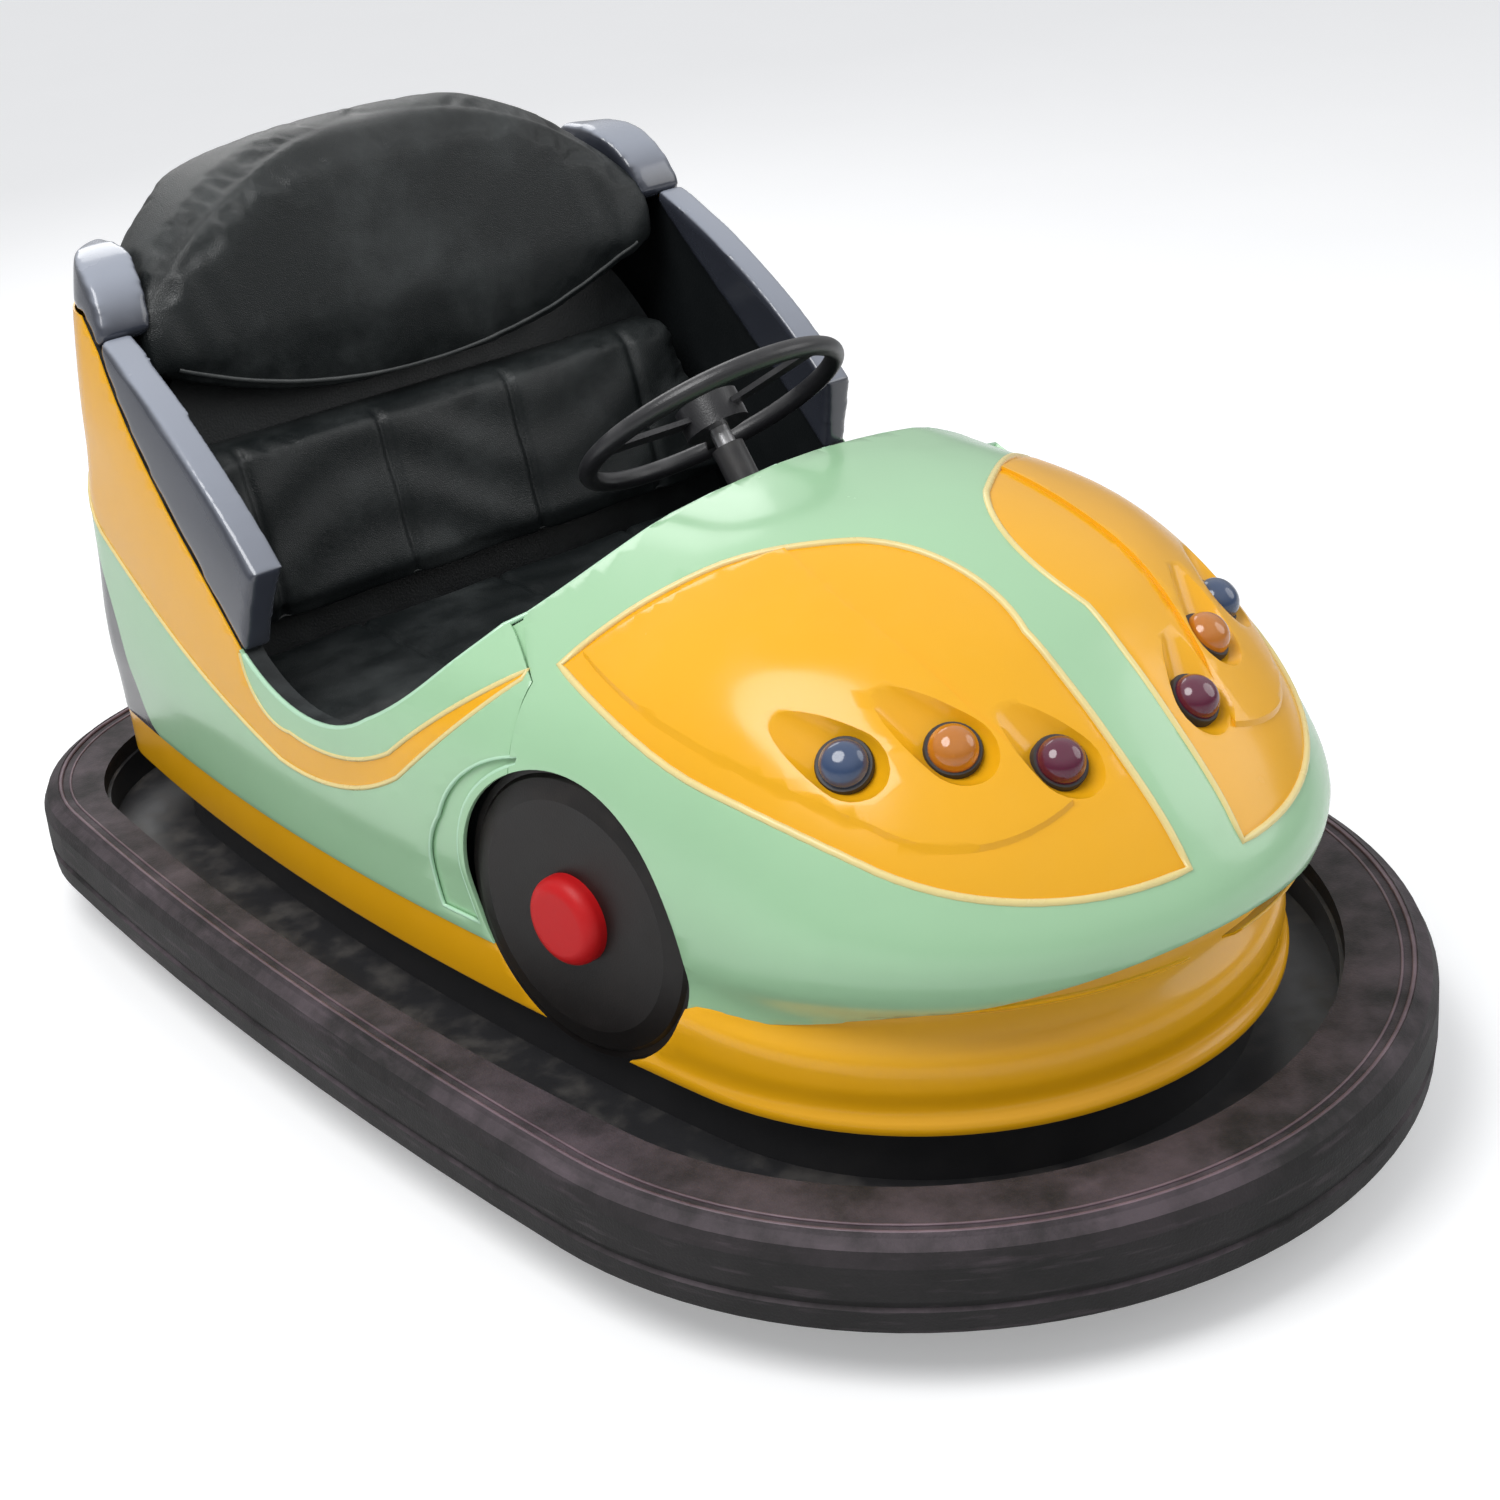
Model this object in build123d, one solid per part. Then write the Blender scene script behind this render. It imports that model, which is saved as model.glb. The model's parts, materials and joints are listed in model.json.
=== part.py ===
from build123d import *
from collections import namedtuple
from math import cos, hypot, pi, radians, sin, sqrt
import os

# Fairground bumper car, battery type. Millimetres, nose toward -Y, up +Z, floor at z = 0.

# ---- plan outlines -------------------------------------------------------------------
# An outline is a round nose, two long bulged sides, two rear corners and a bowed tail.
# taper is how much narrower the nose circle is than the widest point of the sides.
Outline = namedtuple("Outline", "nose_y half taper tail_y tail_r corner_r")

WIDEST_Y = 330
BUMPER = Outline(-975, 606, 42, 975, 1100, 300)
BUMPER_BORE = Outline(-871, 532, 60, 885, 1000, 240)
TAIL_R = 900
TAIL_CORNER_R = 240

# ---- body surface: one oval per height -------------------------------------------------
# drop is how far an inset surface also moves down, as a share of the inset.
Level = namedtuple("Level", "z nose_y half taper tail_y drop")
BODY_LEVELS = [
    Level(180, -792, 456, 70, 834, 0.0),
    Level(310, -800, 464, 82, 832, 0.0),
    Level(350, -852, 467, 88, 830, 0.0),
    Level(404, -874, 468, 92, 828, 0.0),
    Level(470, -838, 465, 95, 822, 1.0),
    Level(560, -747, 452, 100, 806, 1.0),
    Level(640, -641, 436, 105, 786, 1.0),
    Level(700, -523, 424, 140, 768, 1.0),
    Level(750, -350, 414, 180, 750, 1.0),
    Level(830, -210, 400, 170, 718, 1.0),
    Level(1010, -60, 350, 130, 640, 1.0),
]
VALANCE_LEVELS = [
    Level(187, -815, 456, 68, 834, 0.0),
    Level(235, -812, 457, 69, 834, 0.0),
    Level(285, -795, 458, 72, 834, 0.0),
    Level(330, -778, 459, 75, 834, 0.0),
    Level(405, -800, 460, 80, 834, 0.0),
]
WALL = 5
RIM_LIP = 26
RIM_LIP_T = 6
BODY_BOTTOM = 187
SKIRT_TOP = 262
NOSE_LIP_Z = 385
NOSE_TIP_Y = -874
SEAM_Y = -250
SEAM_GAP = 2
FIT = 0.3

# ---- cockpit opening, side view (y, z) ------------------------------------------------
COWL = (-350, 751)
COWL_SIDE = (-270, 668)
ENTRY_FRONT = (-138, 558)
ENTRY_LOW = (100, 450)
ENTRY_REAR = (300, 505)
RIM_MID = (450, 668)
RIM_TOP = (600, 828)
RIM_TAIL = (900, 868)

# ---- dummy wheel ------------------------------------------------------------------------
DISC_Y = -325
DISC_Z = 338
DISC_X = 405
DISC_R = 157
ARCH_R = 165
DISC_TOE = 9.6
DISC_LEAN = 3.0

# ---- chassis ------------------------------------------------------------------------------
PAN_Z = 104
PAN_T = 6
BUMPER_LOW = 66
BUMPER_TOP = 172
CHANNEL_T = 5
PLINTH_INSET = 30
PLINTH_T = 5
RAIL_X = 235
RAIL_W = 36
RAIL_LOW = 66
RAIL_T = 4
DRIVE_Y = -450
TURN_HOLE_R = 142
DRIVE_R = 100
DRIVE_W = 52
REAR_R = 80
REAR_W = 40
REAR_X = 325
REAR_Y = 480
AXLE_R = 12


def meet(a, ra, b, rb):
    """Both crossing points of two circles."""
    dx, dy = b[0] - a[0], b[1] - a[1]
    gap = hypot(dx, dy)
    along = (ra * ra - rb * rb + gap * gap) / (2 * gap)
    off = sqrt(ra * ra - along * along)
    px, py = a[0] + along * dx / gap, a[1] + along * dy / gap
    return [
        (px - off * dy / gap, py + off * dx / gap),
        (px + off * dy / gap, py - off * dx / gap),
    ]


def toward(centre, point, reach):
    """The point at the given reach from centre, on the line to point."""
    gap = hypot(point[0] - centre[0], point[1] - centre[1])
    return (
        centre[0] + reach * (point[0] - centre[0]) / gap,
        centre[1] + reach * (point[1] - centre[1]) / gap,
    )


def oval(z, line, inset=0):
    """A flat outline of eight tangent arcs, offset inward."""
    nose = (0, line.nose_y + line.half - line.taper)
    nose_r = line.half - line.taper - inset
    half = line.half - inset
    reach = WIDEST_Y - nose[1]
    side_r = (half * half + reach * reach - nose_r * nose_r) / (2 * line.taper)
    side = (half - side_r, WIDEST_Y)
    tail = (0, line.tail_y - line.tail_r)
    tail_r = line.tail_r - inset
    corner_r = line.corner_r - inset
    corner = max(meet(side, side_r - corner_r, tail, tail_r - corner_r), key=sum)
    points = [
        (0, line.nose_y + inset),
        toward(side, nose, side_r),
        toward(side, corner, side_r),
        toward(tail, corner, tail_r),
        (0, line.tail_y - inset),
    ]
    circles = [(nose, nose_r), (side, side_r), (corner, corner_r), (tail, tail_r)]
    right = []
    for start, end, (centre, radius) in zip(points, points[1:], circles):
        chord = ((start[0] + end[0]) / 2, (start[1] + end[1]) / 2)
        right.append((start, toward(centre, chord, radius), end))
    left = [tuple((-p[0], p[1]) for p in reversed(arc)) for arc in reversed(right)]
    return Pos(0, 0, z) * make_face([ThreePointArc(*arc) for arc in right + left])


def level_outline(level):
    return Outline(level.nose_y, level.half, level.taper, level.tail_y, TAIL_R, TAIL_CORNER_R)


def skin(levels, inset=0):
    """The solid inside a body surface, offset inward."""
    return loft([oval(lv.z - inset * lv.drop, level_outline(lv), inset) for lv in levels])


def slab(line, low, high, inset=0):
    """A plan outline with upright walls."""
    return extrude(oval(low, line, inset), high - low)


def side_cut(outline, half=700):
    """A closed side-view outline (y, z), drawn right across the car."""
    return extrude(Plane.YZ * outline, half, both=True)


def side_poly(*points, half=700):
    return side_cut(make_face([Polyline(*points, close=True)]), half)


def mirrored(shape):
    return mirror(shape, Plane.YZ)


def write(name, shape):
    export_step(shape, f"parts/{name}.step")


def write_pair(name, left):
    """The piece on the car's left (+X) and its mirror on the right."""
    write(f"{name}_left", left)
    write(f"{name}_right", mirrored(left))


os.makedirs("parts", exist_ok=True)

# ---- body surfaces used again and again ---------------------------------------------------
body = skin(BODY_LEVELS)
body_in = skin(BODY_LEVELS, WALL)
lip_in = skin(BODY_LEVELS, RIM_LIP)


def opening(drop=0):
    """The cockpit opening as a cutter; drop lowers its edge."""
    edge = [
        Line((COWL[0], 1300), COWL),
        ThreePointArc(COWL, COWL_SIDE, ENTRY_FRONT),
        ThreePointArc(ENTRY_FRONT, ENTRY_LOW, ENTRY_REAR),
        ThreePointArc(ENTRY_REAR, RIM_MID, RIM_TOP),
        Line(RIM_TOP, RIM_TAIL),
        Line(RIM_TAIL, (RIM_TAIL[0], 1300)),
        Line((RIM_TAIL[0], 1300), (COWL[0], 1300)),
    ]
    return Pos(0, 0, -drop) * side_cut(make_face(edge))


# Lower edge of the green shell: level along the sides, rising to the nose lip.
arch_front_y = DISC_Y - ARCH_R
lower_edge = [
    Line((1100, SKIRT_TOP), (arch_front_y, SKIRT_TOP)),
    Line((arch_front_y, SKIRT_TOP), (NOSE_TIP_Y, NOSE_LIP_Z)),
    Line((NOSE_TIP_Y, NOSE_LIP_Z), (-1100, NOSE_LIP_Z)),
]
below = side_cut(make_face(lower_edge + [Polyline((-1100, NOSE_LIP_Z), (-1100, 0), (1100, 0), (1100, SKIRT_TOP))]))
lip_band = Pos(0, 0, WALL) * below - below

disc_axis = Pos(DISC_X, DISC_Y, DISC_Z) * Rot(0, 0, -DISC_TOE) * Rot(0, 90 - DISC_LEAN, 0)
arch_hole = disc_axis * Cylinder(ARCH_R, 160)

cut_open = opening()
rim_band = opening(RIM_LIP_T) - cut_open

shell = (body - body_in) - cut_open + ((body - lip_in) & rim_band)
shell = shell - below
valance_solid = skin(VALANCE_LEVELS)
nose_lip = ((body - valance_solid) & lip_band) & side_poly((-1100, 0), (arch_front_y, 0), (arch_front_y, 600), (-1100, 600))
front_half = side_poly((-1100, 0), (SEAM_Y - SEAM_GAP, 0), (SEAM_Y - SEAM_GAP, 1300), (-1100, 1300))
rear_half = side_poly((SEAM_Y, 0), (1100, 0), (1100, 1300), (SEAM_Y, 1300))
both_arches = arch_hole + mirrored(arch_hole)
shell = shell + nose_lip - both_arches
front_shell = shell & front_half
rear_shell = shell & rear_half

# ---- green shell's yellow inlays -------------------------------------------------------------
PANEL_T = 2.5
PANEL_SINK = 1.2
PANEL_GAP = 1.0
panel_out = skin(BODY_LEVELS, PANEL_SINK)
panel_in = skin(BODY_LEVELS, PANEL_SINK + PANEL_T)


def hood_panel_outline(shrink=0.0):
    """Leaf-shaped panel beside the centre stripe, in plan, on the car's left."""
    tip = (372 - shrink, -290 - shrink)
    shape = make_face([
        Line((37, -846), (50, -680)),
        ThreePointArc((50, -680), (72, -520), (106, -468)),
        ThreePointArc((106, -468), (240, -392), tip),
        ThreePointArc(tip, (342, -560), (236, -755)),
        ThreePointArc((236, -755), (140, -822), (37, -846)),
    ])
    return offset(shape, -shrink) if shrink else shape


panel_prism = extrude(Pos(0, 0, 400) * hood_panel_outline(), 400)
panel_prism_in = extrude(Pos(0, 0, 400) * offset(hood_panel_outline(), -PANEL_GAP), 400)
panel_skin = panel_out - panel_in
LAMP_R = 21
LAMP_SINK = 9
LAMPS = [
    ("blue", (260, -614, 572), (0.55, -0.49, 0.67)),
    ("amber", (180, -678, 575), (0.37, -0.56, 0.74)),
    ("purple", (95, -738, 553), (0.18, -0.68, 0.71)),
]
lamp_seats = {name: Plane(origin=spot, z_dir=normal) for name, spot, normal in LAMPS}
sockets = None
for seat in lamp_seats.values():
    socket = seat * Cylinder(LAMP_R + FIT, 2 * LAMP_SINK + 12)
    sockets = socket if sockets is None else sockets + socket
hood_panel = (panel_skin & panel_prism_in) - sockets
write_pair("hood_panel", hood_panel)
pocket = (body - skin(BODY_LEVELS, PANEL_SINK + PANEL_T + 0.1)) & panel_prism
pocket = pocket + sockets
front_shell = front_shell - pocket - mirrored(pocket)

# ---- yellow side stripe, let into the shell -------------------------------------------------
FLASH_T = 2.0
flash_side = make_face([
    Line((-262, 602), (-25, 439)),
    ThreePointArc((-25, 439), (110, 392), (235, 416)),
    ThreePointArc((235, 416), (360, 540), (470, 640)),
    Line((470, 640), (600, 790)),
    Line((600, 790), (800, 790)),
    ThreePointArc((800, 790), (640, 500), (472, 410)),
    ThreePointArc((472, 410), (150, 352), (-36, 412)),
    Line((-36, 412), (-262, 602)),
])
left_side = Pos(600, 0, 500) * Box(700, 2400, 1400)
flash_cut = side_cut(flash_side) & left_side
flash_skin = body - skin(BODY_LEVELS, FLASH_T)
flash = flash_skin & flash_cut & rear_half - opening(0)
write_pair("side_flash", flash)
flash_pocket = flash_skin & flash_cut
rear_shell = rear_shell - flash_pocket - mirrored(flash_pocket)
write("front_shell", front_shell)
write("rear_shell", rear_shell)

# ---- yellow valance round the nose and skirt round the sides and tail ------------------------
valance_in = skin(VALANCE_LEVELS, WALL)
front_zone = side_poly((-1100, 0), (DISC_Y, 0), (DISC_Y, 600), (-1100, 600))
rear_zone = side_poly((1100, 0), (DISC_Y, 0), (DISC_Y, 600), (1100, 600))
FLANGE_W = 45
flange = slab(level_outline(VALANCE_LEVELS[0]), BODY_BOTTOM, BODY_BOTTOM + WALL, 1)
flange = flange - slab(level_outline(VALANCE_LEVELS[0]), 0, 400, FLANGE_W)
valance_wall = (valance_solid - valance_in) & (Pos(0, 0, -FIT) * below)
valance = ((valance_wall + flange) & front_zone) - both_arches
write("front_valance", valance)
skirt_body = skin(BODY_LEVELS, 1.5)
skirt_wall = (skirt_body - skin(BODY_LEVELS, 1.5 + WALL)) & (Pos(0, 0, -FIT) * below)
skirt_wall = skirt_wall - Pos(0, 0, BODY_BOTTOM - 100) * Box(2400, 2400, 200)
skirt = ((skirt_wall + flange) & rear_zone) - both_arches
write("side_skirt", skirt)

# ---- bumper: rubber tube in a steel channel --------------------------------------------------
bumper_rows = [
    (BUMPER_LOW, 12), (BUMPER_LOW + 8, 2), (100, 0), (103, 4), (109, 4), (112, 0),
    (150, 1), (165, 8), (BUMPER_TOP, 20), (BUMPER_TOP + 4, 24), (BUMPER_TOP, 28),
]
bumper = loft([oval(z, BUMPER, inset) for z, inset in bumper_rows], ruled=True)
bumper = bumper - slab(BUMPER_BORE, 0, 400)
write("bumper_tube", bumper)
channel_high = 150
channel = slab(BUMPER_BORE, BUMPER_LOW - CHANNEL_T, channel_high)
channel = channel - slab(BUMPER_BORE, 0, 400, CHANNEL_T)
foot_out = slab(BUMPER_BORE, BUMPER_LOW - CHANNEL_T, BUMPER_LOW, -30)
foot_in = slab(BUMPER_BORE, 0, 400, 0)
channel = channel + (foot_out - foot_in)
write("bumper_channel", channel)

# ---- chassis pan, rails and the plinth that carries the body --------------------------------
pan = slab(BUMPER_BORE, PAN_Z, PAN_Z + PAN_T, CHANNEL_T)
turn_hole = Pos(0, DRIVE_Y, PAN_Z) * Cylinder(TURN_HOLE_R, 40)
pan = pan - turn_hole
WHEEL_GAP = 15
slot = Pos(REAR_X, REAR_Y, PAN_Z) * Box(REAR_W + 2 * WHEEL_GAP, 2 * (REAR_R + WHEEL_GAP), 80)
pan = pan - slot - mirrored(slot)
write("floor_pan", pan)
plinth_line = level_outline(VALANCE_LEVELS[0])
plinth = slab(plinth_line, PAN_Z + PAN_T, BODY_BOTTOM, PLINTH_INSET)
plinth = plinth - slab(plinth_line, 0, 400, PLINTH_INSET + PLINTH_T)
write("body_plinth", plinth)

rail_y0 = DRIVE_Y + TURN_HOLE_R + 30
rail_y1 = 760
rail_len = rail_y1 - rail_y0
rail_h = PAN_Z - RAIL_LOW
tube = Box(RAIL_W, rail_len, rail_h) - Box(RAIL_W - 2 * RAIL_T, rail_len, rail_h - 2 * RAIL_T)
rail = Pos(RAIL_X, (rail_y0 + rail_y1) / 2, RAIL_LOW + rail_h / 2) * tube
frame = rail + mirrored(rail)
cross_len = 2 * RAIL_X - RAIL_W
for cross_y in (rail_y0 + RAIL_W / 2, 160, rail_y1 - RAIL_W / 2):
    cross = Box(cross_len, RAIL_W, rail_h) - Box(cross_len, RAIL_W - 2 * RAIL_T, rail_h - 2 * RAIL_T)
    frame = frame + Pos(0, cross_y, RAIL_LOW + rail_h / 2) * cross
axle_bar = Pos(0, REAR_Y, REAR_R) * Rot(0, 90, 0) * Cylinder(AXLE_R + FIT, 3000)
frame = frame - axle_bar
write("chassis_rails", frame)

# ---- rear axle and wheels -----------------------------------------------------------------
axle_len = 2 * (REAR_X + REAR_W / 2 + 14)
axle = Pos(0, REAR_Y, REAR_R) * Rot(0, 90, 0) * Cylinder(AXLE_R, axle_len)
collar = Pos(0, REAR_Y, REAR_R) * Rot(0, 90, 0) * Cylinder(AXLE_R + 8, 12)
collar_in = REAR_X - REAR_W / 2 - 9
collar_out = REAR_X + REAR_W / 2 + 9
for x in (collar_in, collar_out, -collar_in, -collar_out):
    axle = axle + Pos(x, 0, 0) * collar
write("rear_axle", axle)
BORE_GAP = 0.05


def wheel_hub(radius, width, bore):
    """Cast hub: rim band, thin web and a boss, turned about X."""
    rim_r = radius * 0.68
    section = make_face([Polyline(
        (bore, -width / 2), (bore + 12, -width / 2), (bore + 12, -width * 0.2),
        (rim_r - 8, -width * 0.12), (rim_r - 6, -width * 0.42), (rim_r, -width * 0.42),
        (rim_r, width * 0.42), (rim_r - 6, width * 0.42), (rim_r - 8, width * 0.12),
        (bore + 12, width * 0.2), (bore + 12, width / 2), (bore, width / 2), close=True,
    )])
    return Rot(0, 90, 0) * revolve(Plane.XZ * section, Axis.Z)


def wheel_tyre(radius, width):
    """Solid rubber tyre pressed on the hub, with rounded shoulders."""
    rim_r = radius * 0.68
    shoulder = 7
    section = make_face([
        Line((rim_r, -width / 2 + 2), (radius - shoulder, -width / 2)),
        ThreePointArc(
            (radius - shoulder, -width / 2),
            (radius - shoulder * 0.29, -width / 2 + shoulder * 0.29),
            (radius, -width / 2 + shoulder),
        ),
        Line((radius, -width / 2 + shoulder), (radius, width / 2 - shoulder)),
        ThreePointArc(
            (radius, width / 2 - shoulder),
            (radius - shoulder * 0.29, width / 2 - shoulder * 0.29),
            (radius - shoulder, width / 2),
        ),
        Line((radius - shoulder, width / 2), (rim_r, width / 2 - 2)),
        Line((rim_r, width / 2 - 2), (rim_r, -width / 2 + 2)),
    ])
    return Rot(0, 90, 0) * revolve(Plane.XZ * section, Axis.Z)


for side, sign in (("left", 1), ("right", -1)):
    place = Pos(sign * REAR_X, REAR_Y, REAR_R)
    write(f"rear_hub_{side}", place * wheel_hub(REAR_R, REAR_W, AXLE_R + BORE_GAP))
    write(f"rear_tyre_{side}", place * wheel_tyre(REAR_R, REAR_W))

# ---- drive unit: turntable, yoke and motor wheel at the nose --------------------------------
RING_T = 12
ring_z = PAN_Z + PAN_T
ring = Pos(0, DRIVE_Y, ring_z + RING_T / 2) * (Cylinder(TURN_HOLE_R + 22, RING_T) - Cylinder(TURN_HOLE_R - 10, RING_T))
write("turntable_ring", ring)
TURN_GAP = 6
yoke_r = TURN_HOLE_R - 10 - TURN_GAP
yoke_z = 2 * DRIVE_R + 16
CHEEK_T = 8
cheek_x = DRIVE_W / 2 + 7 + CHEEK_T / 2
plate = Pos(0, DRIVE_Y, yoke_z + 5) * Cylinder(TURN_HOLE_R + 16, 10)
cheek = Box(CHEEK_T, 90, yoke_z - DRIVE_R + 22)
cheek = Pos(0, DRIVE_Y, (yoke_z + DRIVE_R - 22) / 2) * cheek
yoke = plate + Pos(cheek_x, 0, 0) * cheek + Pos(-cheek_x, 0, 0) * cheek
king_pin_top = yoke_z + 50
yoke = yoke + Pos(0, DRIVE_Y, (yoke_z + king_pin_top) / 2) * Cylinder(14, king_pin_top - yoke_z)
DRIVE_AXLE_R = 11
yoke = yoke + Pos(0, DRIVE_Y, DRIVE_R) * Rot(0, 90, 0) * Cylinder(DRIVE_AXLE_R, 2 * cheek_x)
write("drive_yoke", yoke)
# Four feet carry the turning plate above the fixed ring, with a bearing strip on top.
post_h = yoke_z - FIT - ring_z - RING_T
posts = None
for angle in (45, 135, 225, 315):
    r = TURN_HOLE_R + 6
    post = Pos(r * cos(radians(angle)), DRIVE_Y + r * sin(radians(angle)), ring_z + RING_T + post_h / 2)
    post = post * Cylinder(9, post_h)
    posts = post if posts is None else posts + post
write("turntable_posts", posts)
motor = Pos(cheek_x + CHEEK_T / 2 + 26, DRIVE_Y, DRIVE_R + 10) * Rot(0, 90, 0) * Cylinder(40, 52)
write("drive_motor", motor)
write("drive_hub", Pos(0, DRIVE_Y, DRIVE_R) * wheel_hub(DRIVE_R, DRIVE_W, DRIVE_AXLE_R + BORE_GAP))
write("drive_tyre", Pos(0, DRIVE_Y, DRIVE_R) * wheel_tyre(DRIVE_R, DRIVE_W))

# ---- cockpit: liner tub, seat moulding, batteries and cushions ---------------------------------
LINER_IN = RIM_LIP + 1
LINER_T = 4
LINER_FLOOR = 192
BULKHEAD_Y = -262
tub_zone = side_poly((BULKHEAD_Y, LINER_FLOOR), (1100, LINER_FLOOR), (1100, 1300), (BULKHEAD_Y, 1300))
tub_hollow = side_poly(
    (BULKHEAD_Y + LINER_T, LINER_FLOOR + LINER_T), (1100, LINER_FLOOR + LINER_T),
    (1100, 1300), (BULKHEAD_Y + LINER_T, 1300),
)
tub_inner = skin(BODY_LEVELS, LINER_IN + LINER_T) & tub_hollow
tub = (skin(BODY_LEVELS, LINER_IN) & tub_zone) - tub_inner
column_foot = (0, DRIVE_Y, king_pin_top)
WHEEL_Y = -90
WHEEL_Z = 725
column_dir = (0, WHEEL_Y - DRIVE_Y, WHEEL_Z - king_pin_top)
column_len = hypot(column_dir[1], column_dir[2])
column = Plane(origin=(0, DRIVE_Y, king_pin_top), z_dir=column_dir)
COLUMN_R = 19
tub = tub - column * Pos(0, 0, column_len / 2) * Cylinder(COLUMN_R + FIT, column_len)
tub = tub - opening(RIM_LIP_T + 1)
write("cockpit_liner", tub)

SEAT_FRONT = 150
SEAT_TOP = 330
BACK_FOOT = 500
BACK_TOP = (632, 800)
SEAT_T = 6
seat_skin = side_poly(
    (SEAT_FRONT, LINER_FLOOR + LINER_T), (SEAT_FRONT, SEAT_TOP), (BACK_FOOT, SEAT_TOP), BACK_TOP,
    (BACK_TOP[0] + SEAT_T, BACK_TOP[1]), (BACK_FOOT + SEAT_T, SEAT_TOP - SEAT_T),
    (SEAT_FRONT + SEAT_T, SEAT_TOP - SEAT_T), (SEAT_FRONT + SEAT_T, LINER_FLOOR + LINER_T),
)
seat_mould = seat_skin & skin(BODY_LEVELS, LINER_IN + LINER_T + FIT)
write("seat_moulding", seat_mould)
battery = Pos(0, 300, LINER_FLOOR + LINER_T + 57) * (Pos(-105, 0, 0) * Box(190, 170, 114) + Pos(105, 0, 0) * Box(190, 170, 114))
write("battery_block", battery)
CUSHION_GAP = 0.3
cushion_zone = skin(BODY_LEVELS, LINER_IN + LINER_T + 8)
base = side_poly(
    (SEAT_FRONT - 5, SEAT_TOP + CUSHION_GAP), (SEAT_FRONT - 5, SEAT_TOP + 62), (BACK_FOOT - 45, SEAT_TOP + 50),
    (BACK_FOOT - 20, SEAT_TOP + CUSHION_GAP),
)
write("seat_cushion", base & cushion_zone)
# The back cushion leans on the moulding's back panel.
back_run = (BACK_TOP[0] - BACK_FOOT) / (BACK_TOP[1] - SEAT_TOP)


def back_y(z, off):
    """A point ahead of the back panel's face."""
    return (BACK_FOOT + (z - SEAT_TOP) * back_run - off, z)


PAD_T = 62
back_low, back_high = SEAT_TOP + 66, 640
write("back_cushion", side_poly(
    back_y(back_low, CUSHION_GAP), back_y(back_low, PAD_T), back_y(back_high - 12, PAD_T + 4),
    back_y(back_high, PAD_T - 12), back_y(back_high, CUSHION_GAP),
) & cushion_zone)

# Domed upper pad: side outline crossed with the dome seen from ahead.
PAD_TOP = 1000
PAD_HALF = 404
pad_front = [back_y(646, CUSHION_GAP), back_y(646, 50), back_y(760, 86), (565, 935)]
pad_side = make_face([
    Polyline(pad_front),
    ThreePointArc((565, 935), (612, PAD_TOP), (668, 955)),
    Line((668, 955), (706, 866)),
    Line((706, 866), (BACK_TOP[0] + SEAT_T + 1, BACK_TOP[1] + 8)),
    Line((BACK_TOP[0] + SEAT_T + 1, BACK_TOP[1] + 8), back_y(BACK_TOP[1] + 8, CUSHION_GAP)),
    Line(back_y(BACK_TOP[1] + 8, CUSHION_GAP), pad_front[0]),
])
pad_ahead = make_face([
    Line((-PAD_HALF, 600), (-PAD_HALF, 800)),
    ThreePointArc((-PAD_HALF, 800), (-285, 945), (0, PAD_TOP + 2)),
    ThreePointArc((0, PAD_TOP + 2), (285, 945), (PAD_HALF, 800)),
    Line((PAD_HALF, 800), (PAD_HALF, 600)),
    Line((PAD_HALF, 600), (-PAD_HALF, 600)),
])
pad = side_cut(pad_side) & extrude(Plane.XZ * pad_ahead, 1200, both=True)
pad = pad & skin(BODY_LEVELS, RIM_LIP + LINER_T + 4)
write("head_pad", pad)

# ---- rim mouldings along the cockpit edge ------------------------------------------------------
trim_path = ThreePointArc((438, 262, 524), (424, 420, 676), (396, 592, 846))
trim_section = trim_path ^ 0
trim_section = trim_section * make_face(Ellipse(24, 30).edges())
trim = sweep(trim_section, path=trim_path)
trim = trim - rear_shell
write_pair("rim_trim", trim)

# ---- dash, column, pedal and steering ------------------------------------------------------------
DASH_T = 4
dash_zone = side_poly(
    (BULKHEAD_Y - FIT, 628), (BULKHEAD_Y - FIT, 628 + DASH_T * 1.5), (COWL[0] + 6, 728), (COWL[0], 722),
    (BULKHEAD_Y - FIT - DASH_T, 624),
)
dash = dash_zone & skin(BODY_LEVELS, RIM_LIP + 1)
write("dash_panel", dash)
COLUMN_BORE = 12
SHAFT_GAP = 0.08
tube_low, tube_high = 70, column_len - 40
tube_len = tube_high - tube_low
tube_mid = column * Pos(0, 0, (tube_low + tube_high) / 2)
write("column_tube", tube_mid * (Cylinder(COLUMN_R, tube_len) - Cylinder(COLUMN_BORE, tube_len)))
SHAFT_FOOT = 30
shaft_len = column_len - SHAFT_FOOT
shaft_rod = column * Pos(0, 0, SHAFT_FOOT + shaft_len / 2) * Cylinder(COLUMN_BORE - SHAFT_GAP, shaft_len)
write("steering_shaft", shaft_rod)
WHEEL_R = 155
GRIP_R = 11
hub_plane = column * Pos(0, 0, column_len)
steering = hub_plane * (Torus(WHEEL_R, GRIP_R) + Cylinder(38, 34))
for angle in (90, 210, 330):
    steering = steering + hub_plane * Rot(0, 0, angle) * Pos(WHEEL_R / 2 + 15, 0, 0) * Box(WHEEL_R - 30, 24, 6)
write("steering_wheel", steering - shaft_rod)

PEDAL_Y = -212
pedal = Pos(90, PEDAL_Y, LINER_FLOOR + LINER_T) * (
    Pos(0, 0, 6) * Box(70, 60, 12) + Pos(0, -8, 48) * Rot(-25, 0, 0) * Box(60, 8, 90)
)
write("foot_pedal", pedal)

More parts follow.
